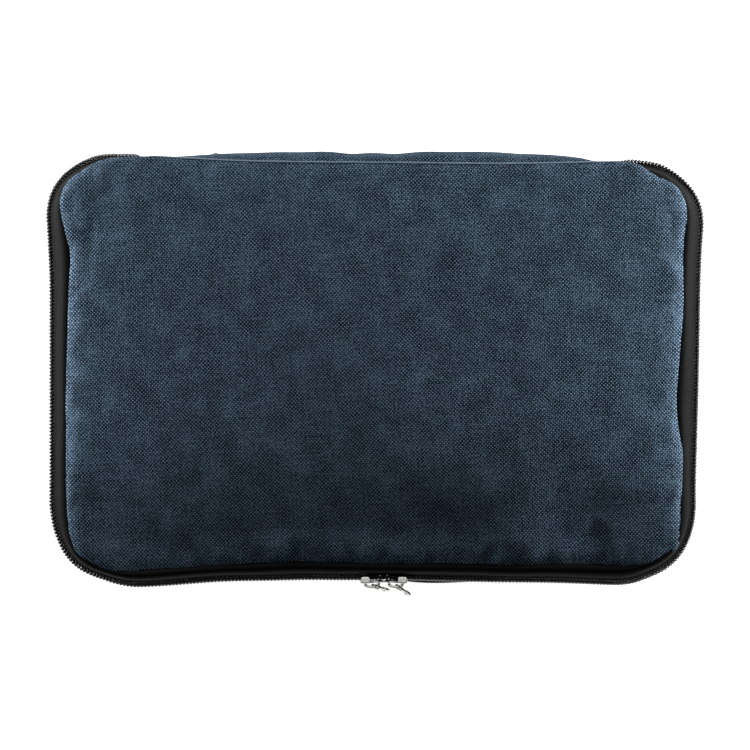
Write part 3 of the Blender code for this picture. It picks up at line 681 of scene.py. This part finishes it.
def helix(line, normal, side, phase, inwards=0.2, height=1.85, half=(0.98, 1.32), wire=0.36):
    """One half of the main zipper's nylon coil along a line: the turns, in mm."""
    run = np.concatenate([[0], np.cumsum(np.linalg.norm(np.diff(line, axis=0), axis=1))])
    where = np.arange(0, run[-1], PITCH / 12)
    at, out = (np.stack([np.interp(where, run, row) for row in rows.T], 1) for rows in (line, normal))
    out = unit(out)
    turn = 2 * math.pi * where / PITCH + phase
    across = out * (half[0] * np.cos(turn) - inwards)[:, None]
    points = lift(at + across, MID + side * (height - half[1] * np.sin(turn)))
    ahead = np.column_stack([-out[:, 1], out[:, 0], np.zeros(len(out))])
    return tube_rows(points, wire, 5, ahead)


def oval_tube(name, line, way, side, centre, half, look, count=12):
    """A tube of oval section beside a line; centre is how far out along way, and how far from mid height."""
    rows = []
    for a in turn_angles(count):
        out, height = centre[0] + half[0] * math.cos(a), centre[1] + half[1] * math.sin(a)
        rows.append(lift(line + way * out, MID + side * height))
    return loft(name, rows, look, ring=True, caps=True, flip=side > 0)


def main_coils():
    line, normal = zip_path(1.0)
    for word, side, body, edge, _ in reversed(HALVES):
        nodes = ("front_coil_left", "front_coil_right") if side > 0 else ("back_coil",)
        phase = math.pi if side > 0 else 0.0  # the two halves' turns lie between each other
        turns = helix(line, normal, side, phase).transpose(1, 0, 2)
        teeth = loft(word + "_coil_teeth", turns, "coil", ring=True, caps=True, flip=True)
        seat(teeth, body, "zipper_coil", *nodes)
        core = oval_tube(teeth.name + "_core", line, normal, side, (-0.2, 1.85), (0.42, 0.95), "cord", 8)
        seat(core, body, "zipper_coil")
        seam = evenly(seam_beside(edge, line, 4.2, 7), 420, False)
        way = outward(seam, False)
        node = word + "_seam_binding"
        ribbon = oval_tube(node + "_ribbon", seam, way, side, (0, 6.3), (0.9, 1.6), "binding")
        seat(ribbon, body, "binding", node)
        stitches(node + "_stitches", lift(seam - way * 0.95, MID + side * 6.1), body, rise=0.0)


# ---- cast metal ---------------------------------------------------------------------------------
def prism(outline, low, high):
    """An outline in x, y carried from low to high in z."""
    outline = np.asarray(outline, float)
    n = len(outline)
    verts = np.vstack([lift(outline, low), lift(outline, high)])
    x, y = outline.T
    area = np.sum(x * np.roll(y, -1) - y * np.roll(x, -1))
    faces = [tuple(range(n))[::-1], tuple(range(n, 2 * n))]
    faces += [(k, (k + 1) % n, n + (k + 1) % n, n + k) for k in range(n)]
    return verts, faces if area > 0 else [f[::-1] for f in faces]


def slab(x0, x1, y0, y1, z0, z1):
    return prism([(x0, y0), (x1, y0), (x1, y1), (x0, y1)], z0, z1)


def bent_bar(points, radius, sides, side_way=(0, 0, 1)):
    """A closed round bar along points."""
    points = np.asarray(points, float)
    rings = tube_rows(points, radius, sides, np.array(side_way, float))
    last = (len(points) - 1) * sides
    ends = [tuple(range(sides))[::-1], tuple(last + k for k in range(sides))]
    return rings.reshape(-1, 3), strips(len(points), sides, close_columns=True) + ends


def ring_bar(centre, radius, wire, count=28):
    """A round ring lying flat."""
    up = np.array([0, 0, 1.0])
    angles = turn_angles(count)
    out = lift(np.column_stack([np.cos(angles), np.sin(angles)]), 0.0)
    turns = turn_angles(10)
    section = out[:, None, :] * np.cos(turns)[None, :, None] + up * np.sin(turns)[None, :, None]
    rings = (np.array(centre, float) + radius * out)[:, None, :] + wire * section
    return rings.reshape(-1, 3), strips(count, 10, True, True)


def cast(name, shapes, place, voxel=0.14, smooth=6, look="nickel"):
    """Overlapping closed shapes melted into one rounded casting. place is origin and three axes, in mm."""
    verts, faces = [], []
    for points, quads in shapes:
        base = len(verts)
        verts.extend(points)
        faces += [tuple(base + i for i in q) for q in quads]
    origin, axes = place
    made = piece(name, np.asarray(origin) + np.asarray(verts) @ np.asarray(axes), faces, look)
    melt = made.modifiers.new("melt", "REMESH")
    melt.mode = "VOXEL"
    melt.voxel_size = voxel * MM
    melt.use_smooth_shade = True
    round_off = made.modifiers.new("round", "SMOOTH")
    round_off.factor, round_off.iterations = 0.6, smooth * 2
    return made


def slider_shapes(k):
    """A zipper slider of the sizes in k: x to its nose, y out of the zipper's face, z across."""
    length, (root, cheek_top), inner, outer = k["length"], k["flange"], k["inner"], k["outer"]
    t = np.linspace(0, 1, 24)
    nose = np.sqrt(np.clip(1 - np.clip((t - 0.72) / 0.30, 0, 1) ** 2.2, 0.02, 1))
    half = k["half"] * (0.80 + 0.20 * smoothstep(0.15, 0.6, t)) * nose
    x = (t - 0.5) * length
    plan = np.vstack([np.column_stack([x, half]), np.column_stack([x, -half])[::-1]])

    def plate(low, high, sag):
        verts, faces = prism(plan, low, high)
        towards_nose = np.clip(verts[:, 0] / length - 0.1, 0, 1)
        verts[:, 2] += sag * ((verts[:, 1] / k["half"]) ** 2 + 2.4 * towards_nose**2)
        return verts[:, [0, 2, 1]], [f[::-1] for f in faces]

    shapes = [plate(*outer, -0.25), plate(*inner, 0.2)]
    low, high = k["flange_end"], outer[1] - 0.05
    back, front, r = -0.5 * length, -0.06 * length, 0.36 * (high - low)
    cheek = round_path([(back, low, r), (front, low, r), (front, high, 0.3), (back, high, r)], True, 0.15)
    middle = cheek.mean(0)
    for sign in (1, -1):
        for inset, reach in ((0.0, 0.72), (0.12, 0.92), (0.30, 1.0)):  # three steps that melt into a dome
            shrink = 1 - inset / (0.5 * (front - back))
            z0, z1 = sorted((sign * root * 0.97, sign * (root + (cheek_top - root) * reach)))
            shapes.append(prism(middle + (cheek - middle) * shrink, z0, z1))
        z0, z1 = sorted((sign * root, sign * cheek_top))
        shapes.append(slab(-0.47 * length, -0.08 * length, inner[0], inner[1] + 0.5, z0, z1))
    shapes.append(slab(0.26 * length, 0.42 * length, inner[0] + 0.2, outer[1] - 0.2, -k["post"], k["post"]))
    return shapes


def crown_shapes(k):
    """The arch that the puller hangs in, with broad feet."""
    foot, reach, rise, half = k["outer"][1] + 0.05, k["crown_reach"], k["crown_rise"], k["crown_half"]
    a = np.linspace(0, math.pi, 17)
    over, under = (
        np.column_stack([(reach - wall) * np.cos(a), foot + (rise - wall) * np.sin(a) ** 0.8])
        for wall in (0.0, k["crown_wall"])
    )
    shapes = [prism(np.vstack([over, under[::-1]]), -half, half)]
    for s in (-1, 1):
        x0, x1 = s * reach - 0.7 * (1 + s) + 0.15, s * reach + 0.7 * (1 - s) - 0.15
        shapes.append(slab(x0, x1, foot - 0.05, foot + 0.5, -half * 1.25, half * 1.25))
    return shapes


def puller_shapes(k):
    """A loop for the crown, a neck and a pierced leaf with a raised rim, lying along x from its pin."""
    w, end, tip, thick = k["puller_half"], k["window_end"], k["puller_length"], k["thick"]
    upper = [(0.1, w - 0.5), (end * 0.55, w - 0.35), (end, 0.75 * w - 0.3)]
    loop = smooth_loop([(0.1, 0.5 - w), *upper, *((x, -y) for x, y in upper[:0:-1])], 40)
    n = outward(loop, True)
    section = [(-0.5, -0.5), (0.5, -0.5), (0.5, 0.5), (-0.5, 0.5)]
    rows = [lift(loop + n * (0.85 * a), b * thick) for a, b in section]
    ring = np.array(rows).reshape(-1, 3), strips(4, len(loop), True, True)
    leaf = (tip - end) / 2 + 0.3
    centre = np.array([tip - leaf, 0, 0])
    neck = slab(end - 0.3, centre[0] - leaf * 0.4, -0.62, 0.62, -thick / 2, thick / 2)
    shapes = [ring, neck, ring_bar(centre, leaf * 0.76, 0.58), ring_bar(centre, leaf * 0.34, 0.42, 20)]
    for angle in (math.radians(60), math.radians(180), math.radians(300)):
        way = np.array([math.cos(angle), math.sin(angle), 0])
        shapes.append(bent_bar([centre + way * leaf * r for r in (0.36, 0.55, 0.78)], 0.40, 8))
    lean = math.radians(k["tilt"])  # it hangs a little askew on its pin
    turned = []
    for v, faces in shapes:
        y, z = v[:, 1].copy(), v[:, 2].copy()
        v[:, 1], v[:, 2] = y * math.cos(lean) - z * math.sin(lean), y * math.sin(lean) + z * math.cos(lean)
        turned.append((v[:, [0, 2, 1]], [f[::-1] for f in faces]))
    return turned


# The sliders, in mm: x runs to the nose, y out of the zipper's face and z across it.
MAIN = {
    "length": 10.4, "half": 4.6, "post": 0.35,
    "inner": (-3.1, -2.2), "outer": (1.5, 2.35), "flange": (3.4, 4.5), "flange_end": -0.8,
    "crown_reach": 3.7, "crown_rise": 2.2, "crown_wall": 1.25, "crown_half": 2.0,
    "puller_half": 2.4, "window_end": 3.6, "puller_length": 8.6, "thick": 1.1, "pin": 3.55, "tilt": 14,
}
SMALL = {
    "length": 8.0, "half": 3.3, "post": 0.25,
    "inner": (-1.0, -0.5), "outer": (2.0, 2.6), "flange": (2.6, 3.2), "flange_end": 0.75,
    "crown_reach": 2.6, "crown_rise": 1.6, "crown_wall": 0.6, "crown_half": 1.1,
    "puller_half": 1.8, "window_end": 3.2, "puller_length": 8.0, "thick": 0.8, "pin": 3.1, "tilt": 0,
}


def slider_set(prefix, origin, nose, out, k, rest_angle):
    """Body, crown and puller. rest_angle is the puller's, in degrees from the way that the nose points."""
    x, y = unit(np.array(nose, float)), unit(np.array(out, float))
    axes = np.stack([x, y, np.cross(x, y)])
    body = cast(prefix + "_slider_casting", slider_shapes(k), (origin, axes))
    seat(body, prefix + "_slider", "nickel", prefix + "_slider_body")
    crown = cast(prefix + "_slider_arch", crown_shapes(k), (origin, axes), voxel=0.11)
    seat(crown, prefix + "_slider", "nickel", prefix + "_slider_crown")
    a = math.radians(rest_angle)
    swung = np.array([[math.cos(a), math.sin(a), 0], [-math.sin(a), math.cos(a), 0], [0, 0, 1]]) @ axes
    pin = np.asarray(origin) + axes[1] * k["pin"]
    tag = cast(prefix + "_puller_tag", puller_shapes(k), (pin, swung), voxel=0.11, smooth=4)
    seat(tag, prefix + "_puller", "nickel", prefix + "_puller")


def centre_of(node):
    return np.mean(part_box(node), axis=0) / MM


def main_sliders():
    meet = np.array(ZIP_CORNERS[2][:2])
    for prefix, far, angle in (("left", ZIP_CORNERS[1], 18), ("right", ZIP_CORNERS[3], 148)):
        way = unit(np.array(far[:2]) - meet)
        middle = meet + way * 5.3
        out = np.array([-way[1], way[0]]) if prefix == "left" else np.array([way[1], -way[0]])
        slider_set(prefix, (*middle, MID), (*-way, 0), (*out, 0), MAIN, angle)


# ---- small straight zippers ---------------------------------------------------------------------
def small_zipper(prefix, origin, out, half, wave, angle, slider_x, body, highest_y=None):
    """A pocket's zipper along X: two tapes, two rows of teeth, end stops and a slider that points to -X."""
    origin, y = np.array(origin, float), unit(np.array(out, float))
    z = np.cross([-1.0, 0, 0], y)
    x = np.linspace(-half, half, int(half * 2 / 1.5))
    fine = np.arange(-half, half, 0.1)
    for word, sign in (("upper", 1), ("lower", -1)):
        rows = []
        for across, proud in ((0.5, 0.35), (1.0, 0.3), (2.4, 0.15), (3.6, 0.0), (4.4, 0.0)):
            row = origin + np.outer(x, [1, 0, 0]) + np.outer(proud + wave(x), y) + z * sign * across
            if highest_y:
                row[:, 1] = np.minimum(row[:, 1], highest_y)  # this edge is tucked in beneath the spine's lip
            rows.append(row)
        made = solidify(loft(f"{prefix}_tape_{word}_weave", rows, "tape", flip=sign > 0), 0.35)
        seat(made, body, "zipper_tape", f"{prefix}_tape_{word}")
        turn = 2 * math.pi * fine / 1.2 + (0 if sign > 0 else math.pi)
        proud, across = wave(fine) + 1.15 + 0.42 * np.cos(turn), sign * (1.12 - 0.78 * np.sin(turn))
        points = origin + np.outer(fine, [1, 0, 0]) + np.outer(proud, y) + np.outer(across, z)
        rows = tube_rows(points, 0.24, 5, np.array([1.0, 0, 0])).transpose(1, 0, 2)
        teeth = loft(f"{prefix}_teeth_{word}", rows, "coil", ring=True, caps=True)
        seat(teeth, body, "zipper_coil", f"{prefix}_coil_{word}")
    for word in ("left", "right"):
        node = f"{prefix}_stop_{word}"
        bar = bent_bar([(0, 0, w) for w in np.linspace(-1.45, 1.45, 7)], 0.5, 10, (1, 0, 0))
        place = centre_of(node) - y * 0.1, np.stack([[-1.0, 0, 0], y, z])
        seat(cast(node + "_clip", [bar], place, voxel=0.1, smooth=3), body, "nickel", node)
    slider_set(prefix, origin + np.array([slider_x, 0, 0]), (-1, 0, 0), y, SMALL, angle)


# ---- sheets and pockets -------------------------------------------------------------------------
def pillow(name, outline, z, thick, look, puff=0.0, facing=-1, seed=1, nx=40, ny=26, ripple=0.15):
    """A closed sheet with a soft edge. puff swells the face that looks up (facing 1) or down (-1)."""
    centre = (outline.max(0) + outline.min(0)) / 2

    def skin(side):
        def height(x, y, d):
            swell = puff * smoothstep(0, 14, d) if facing == side else 0
            rounded = thick / 2 * np.sqrt(np.clip(d / 0.8, 0, 1))
            return rounded + swell + side * ripple * waves(x, y, seed, 13) * np.clip(d / 6, 0, 1)

        return panel_grid(outline - centre, nx, ny, height, ())

    up, faces, uv = skin(1)
    down, under, _ = skin(-1)
    down[:, 2] *= -1
    same = {int(i) + len(up): int(i) for i in grid_rim(nx, ny)}
    faces = faces + [tuple(same.get(i + len(up), i + len(up)) for i in f)[::-1] for f in under]
    verts = np.vstack([up, down]) + np.array([*centre, z])
    used = sorted({int(i) for f in faces for i in f})
    order = {old: new for new, old in enumerate(used)}
    faces = [tuple(order[int(i)] for i in f) for f in faces]
    return piece(name, verts[used], faces, look, np.vstack([uv, uv])[used])


def hem(name, path, body, half, closed=False, nodes=()):
    """A folded ribbon over an edge: a flat oval carried along a path in space."""
    path = np.asarray(path, float)
    up = np.array((0, 0, 1.0))
    ahead = unit((np.roll(path, -1, 0) - np.roll(path, 1, 0)) if closed else np.gradient(path, axis=0))
    side = unit(np.cross(ahead, up))
    rows = []
    for a in turn_angles(16):
        c, s = math.cos(a), math.sin(a)
        flat = np.sign(c) * abs(c) ** 0.6 * half[1], np.sign(s) * abs(s) ** 0.8 * half[0]
        rows.append(path + side * flat[0] + up * flat[1])
    made = loft(name, rows, "binding", closed=closed, ring=True, caps=not closed)
    return seat(made, body, "binding", *nodes)


def line_between(a, b, step=2.0):
    a, b = np.array(a, float), np.array(b, float)
    return a + (b - a) * np.linspace(0, 1, max(2, int(np.linalg.norm(b - a) / step)))[:, None]


def box_of(node):
    """A CAD node's low and high corners and its middle height, in mm."""
    low, high = (np.array(corner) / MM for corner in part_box(node))
    return low, high, (low[2] + high[2]) / 2


def pocket(node, body, facing, puff, seed, radius=3.0):
    """A flat pocket over its CAD plate, with a ribbon on its mouth and stitches down its sides."""
    low, high, z = box_of(node)
    face = pillow(node + "_cloth", inside(low, high, 0, radius), z, 0.55, "lining", puff, facing, seed)
    seat(face, body, "lining", node)
    edge = line_between((low[0] + 1.5, low[1] + 1.4, z), (high[0] - 1.5, low[1] + 1.4, z))
    share = np.linspace(-1, 1, len(edge))
    edge[:, 2] = z + facing * puff * 0.55 * np.clip(1.2 * (1 - share**2), 0, 1)
    edge[:, 2] += 0.12 * waves(edge[:, 0], edge[:, 1], seed, 12)
    hem(node + "_hem", edge, body, half=(0.42, 1.7))
    over = np.array([0, 0.9, facing * 0.40])
    stitches(node + "_hem_stitches", edge + over, body, up=(0, 0, facing))
    for word, x in (("left", low[0] + 1.2), ("right", high[0] - 1.2)):
        run = line_between((x, low[1] + 4, z), (x, high[1] - 2, z)) + np.array([0, 0, facing * 0.27])
        stitches(f"{node}_stitches_{word}", run, body, up=(0, 0, facing))


def linings():
    """Inner trays that follow the panels, thinner by the padding."""
    for word, side, body, edge, height in HALVES:
        def inner(x, y, d, height=height, side=side):
            tray = MID + np.interp(d, (0, 2, 6, 12, 20, 60), (9.0, 10.2, 12.2, 13.4, 14.2, 15.0))
            return np.minimum(tray, height(x, y, d + 3.0) - 1.4) + 0.12 * waves(x, y, 41 + side, 18)

        loop = smooth_loop(edge, 700)
        loop = loop - outward(loop, True) * 3.0
        verts, faces, uv = panel_grid(loop, 110, 74, inner, ((-0.1, 0.5), (-0.3, 0.9)))
        verts[:, 2] = MID + side * (verts[:, 2] - MID)
        if side > 0:
            faces = [f[::-1] for f in faces]
        made = solidify(piece(word + "_lining_skin", verts, faces, "lining", uv), 0.4, 1.0)
        seat(made, body, "lining", word + "_lining")


def cover_inside():
    body, lining = "front_cover", "front_lining_skin"
    pocket("passport_pocket_inner", body, -1, 0.25, 51)
    pocket("passport_pocket_outer", body, -1, 1.1, 52)
    for number in range(1, 5):
        puff = 0.15 if number % 2 == 0 else 0.6
        pocket(f"card_slot_{number}", body, -1, puff, 60 + number, radius=2.0)
    low, high, z = box_of("id_window")
    sheet = pillow("id_window_sheet", inside(low, high, 1, 2.0), z, 0.35, "vinyl", 0.3, -1, 71, ripple=0.05)
    seat(sheet, body, "clear_vinyl", "id_window")
    frame_line = inside(low, high, 1.5, 2.5, 2.0)
    hem("id_window_frame", lift(frame_line, z - 0.3), body, half=(0.35, 1.9), closed=True)
    stitches("id_window_stitches", lift(frame_line, z - 0.68), body, up=(0, 0, -1), rise=0.05)
    pen_loop()


def pen_loop():
    """Ribbed elastic in a loop, sewn flat at both ends."""
    low, high, _ = box_of("pen_loop")
    x, top = (low[0] + high[0]) / 2, high[2] - 0.4
    a = np.linspace(0, math.pi, 25)
    arch = np.column_stack([x + 5.6 * np.cos(a), top - 5.6 * np.sin(a)])
    right = np.column_stack([np.linspace(high[0] - 0.2, x + 6.6, 6), np.full(6, top)])
    left = np.column_stack([np.linspace(x - 6.6, low[0] + 0.2, 6), np.full(6, top)])
    section = evenly(np.vstack([right, arch, left]), 60, False)
    rows = [
        np.column_stack([section[:, 0], np.full(60, y), section[:, 1] + 0.05 * math.sin(y * 2)])
        for y in np.linspace(-9.8, 9.8, 21)
    ]
    made = solidify(loft("pen_loop_elastic", rows, "binding"), 0.7, 0.0)
    seat(made, "front_cover", "binding", "pen_loop")
    for word, x in (("left", low[0] + 2.5), ("right", high[0] - 2.5)):
        run = line_between((x, -8, top - 0.45), (x, 8, top - 0.45))
        stitches(f"pen_loop_stitches_{word}", run, "front_cover", up=(0, 0, -1))


def net_panel():
    """The mesh pocket's net: a diagonal lattice of thread."""
    low, high, z = box_of("mesh_pocket_panel")
    nx, ny = (int(size / 2.6) for size in (high - low)[:2])
    xs, ys = np.linspace(low[0], high[0], nx + 1), np.linspace(low[1], high[1], ny + 1)
    knots = [np.meshgrid(xs, ys), np.meshgrid((xs[1:] + xs[:-1]) / 2, (ys[1:] + ys[:-1]) / 2)]
    flat = np.vstack([np.column_stack([x.ravel(), y.ravel()]) for x, y in knots])
    d = np.minimum(flat - low[:2], high[:2] - flat).min(1)
    sag = 0.5 * waves(flat[:, 0], flat[:, 1], 81, 40) * np.clip(d / 20, 0, 1) + 0.5 * smoothstep(0, 30, d)
    corner = np.arange((nx + 1) * (ny + 1)).reshape(ny + 1, nx + 1)
    centre = corner.size + np.arange(nx * ny).reshape(ny, nx)
    faces = [
        (centre[r, c], corner[r, c + 1], centre[r, c + 1], corner[r + 1, c + 1])
        for r in range(ny)
        for c in range(nx - 1)
    ]
    made = piece("mesh_pocket_net", lift(flat, z + sag), faces, "net")
    lattice = made.modifiers.new("lattice", "WIREFRAME")
    lattice.thickness = 0.42 * MM
    lattice.use_boundary = True
    seat(made, "back_half", "mesh", "mesh_pocket_panel")


def back_inside():
    body, lining = "back_half", "back_lining_skin"
    net_panel()
    low, high, z = box_of("mesh_pocket_top_band")
    band = pillow("mesh_pocket_band_cloth", inside(low, high, 0, 3.0), z, 0.55, "lining", 0.2, 1, 91, ny=6)
    seat(band, body, "lining", "mesh_pocket_top_band")
    edge = rectangle(-115.3, 115.3, -71.3, 78.3, 5.3, 2.0)
    binding = ["mesh_pocket_binding"]
    hem("mesh_pocket_ribbon", lift(edge, 8.5), body, half=(0.7, 1.6), closed=True, nodes=binding)
    stitches("mesh_pocket_stitches", lift(edge, 9.2), body)
    small_zipper("mesh_pocket", (0, 62, 8.3), (0, 0, 1), 110, lambda x: 0.12 * np.sin(x / 17), 174, -98, body)
    low, high, _ = box_of("divider_hinge_strip")
    x = np.linspace(low[0], high[0], 80)
    rows = [lift(np.column_stack([x, np.full_like(x, 84.7)]), h) for h in np.linspace(8.6, 22.6, 16)]
    strip = solidify(loft("divider_hinge_cloth", rows, "binding"), 0.5, 0.0)
    seat(strip, body, "binding", "divider_hinge_strip")
    for word in ("left", "right"):
        low, high, _ = box_of(f"zipper_end_tab_{word}")
        middle, half = (low + high) / 2, (high - low) / 2
        turns = np.linspace(0.5, 2.5, 25) * math.pi  # the tape's end is folded over like a flattened loop
        across, up = half[1] * np.cos(turns), np.sign(np.sin(turns)) * np.abs(np.sin(turns)) ** 0.7
        fold = np.column_stack([0 * turns, across, (half[2] - 0.3) * up])
        rows = [middle + fold + (x, 0, 0.08 * math.sin(3 * x)) for x in np.linspace(-half[0], half[0], 9)]
        made = solidify(loft(f"zipper_end_fold_{word}", rows, "binding"), 0.5, 0.0)
        seat(made, body, "binding", f"zipper_end_tab_{word}")


def divider_page():
    low, high, z = box_of("divider_board")
    outline = inside(low, high, 0, 8)
    page = pillow("divider_page", outline, z, 0.8, "lining", ripple=0.06, seed=101, nx=60, ny=40)
    seat(page, "divider", "board", "divider_board")
    pocket("divider_front_pocket", "divider", 1, 0.25, 102, radius=6.0)
    pocket("divider_back_pocket", "divider", -1, 0.25, 103, radius=6.0)
    edge = lift(inside(low, high, -1.0, 9.0, 2.0), z)
    hem("divider_ribbon", edge, "divider", half=(0.75, 1.3), closed=True, nodes=["divider_binding"])
    inset = inside(low, high, -0.6, 8.6, 2.0)
    stitches("divider_stitches_upper", lift(inset, z + 0.8), "divider")
    stitches("divider_stitches_under", lift(inset, z - 0.8), "divider", up=(0, 0, -1))


def rear_pocket():
    """A large flat pocket on the back panel, closed by a zipper along the spine's edge."""
    body = "back_half"
    low, high, _ = box_of("rear_pocket_panel")
    outline = inside(low, high, 0, 12.0)
    face = pillow("rear_pocket_cloth", outline, 0.62, 1.1, "outer", 0.0, -1, 111, nx=90, ny=60, ripple=0.05)
    seat(face, body, "outer_fabric", "rear_pocket_panel")
    for word, inset in (("outer", 1.6), ("inner", 6.0)):
        edge = lift(inside(low, high, inset, 12.0 - inset / 2, 2.0), 0.16)
        stitches(f"rear_pocket_stitches_{word}", edge, body, "thread", up=(0, 0, -1), radius=0.15, rise=0.02)

    def wave(x):
        return 0.15 * np.sin(x / 13) + 0.9 * bell(x, -9, 10)

    small_zipper("rear_pocket", (0, 91.0, 5.4), (0, 0.75, -0.66), 88, wave, 170, -76, body, highest_y=92.4)


# ---- studio -------------------------------------------------------------------------------------
def studio():
    """A pale floor, soft lamps low at both sides and high above, and a camera that looks straight down."""
    floor_mesh = bpy.data.meshes.new("floor")
    reach = 6.0
    corners = [(-reach, -reach, 0), (reach, -reach, 0), (reach, reach, 0), (-reach, reach, 0)]
    floor_mesh.from_pydata(corners, [], [(0, 1, 2, 3)])
    floor = bpy.data.objects.new("floor", floor_mesh)
    bpy.context.scene.collection.objects.link(floor)
    floor.location.z = -0.0006
    look = Look("floor_paper", 0.9)
    look.set("Base Color", (0.92, 0.92, 0.92, 1))
    look.set("Emission Color", (1, 1, 1, 1))
    look.set("Emission Strength", 0.95)
    floor_mesh.materials.append(look.material)
    world = bpy.data.worlds.new("studio")
    bpy.context.scene.world = world
    world.use_nodes = True
    world.node_tree.nodes["Background"].inputs[0].default_value = (0.90, 0.95, 1.0, 1)
    world.node_tree.nodes["Background"].inputs[1].default_value = 0.03
    for name, place, aim, size, power in (
        ("left", (-0.5, 0.155, 0.094), (0, 0.0, 0.035), (0.30, 0.05), 6.3),
        ("right", (0.5, 0.155, 0.094), (0, 0.0, 0.035), (0.30, 0.05), 7.4),
        ("overhead", (0.0, 0.15, 1.3), (0, 0, 0.02), (0.6, 0.5), 1.8),
        ("front", (0.0, -0.9, 0.55), (0, 0, 0.02), (1.2, 0.12), 0.15),
    ):
        data = bpy.data.lights.new(name, "AREA")
        data.shape = "RECTANGLE"
        data.size, data.size_y = size
        data.energy = power
        lamp = bpy.data.objects.new(name, data)
        bpy.context.scene.collection.objects.link(lamp)
        lamp.location = place
        lamp.visible_camera = False
        lamp.rotation_euler = (Vector(aim) - Vector(place)).to_track_quat("-Z", "Y").to_euler()
    camera_data = bpy.data.cameras.new("camera")
    camera_data.lens, camera_data.sensor_width = 180, 36
    camera = bpy.data.objects.new("camera", camera_data)
    bpy.context.scene.collection.objects.link(camera)
    camera.location = (0.0002, -0.0029, 0.020 + 0.330 * 180 / 36)
    bpy.context.scene.camera = camera
    bpy.context.scene.view_settings.view_transform = "Standard"


studio()
outer_panels()
spine_fabric()
gussets()
main_coils()
main_sliders()
linings()
cover_inside()
back_inside()
divider_page()
rear_pocket()
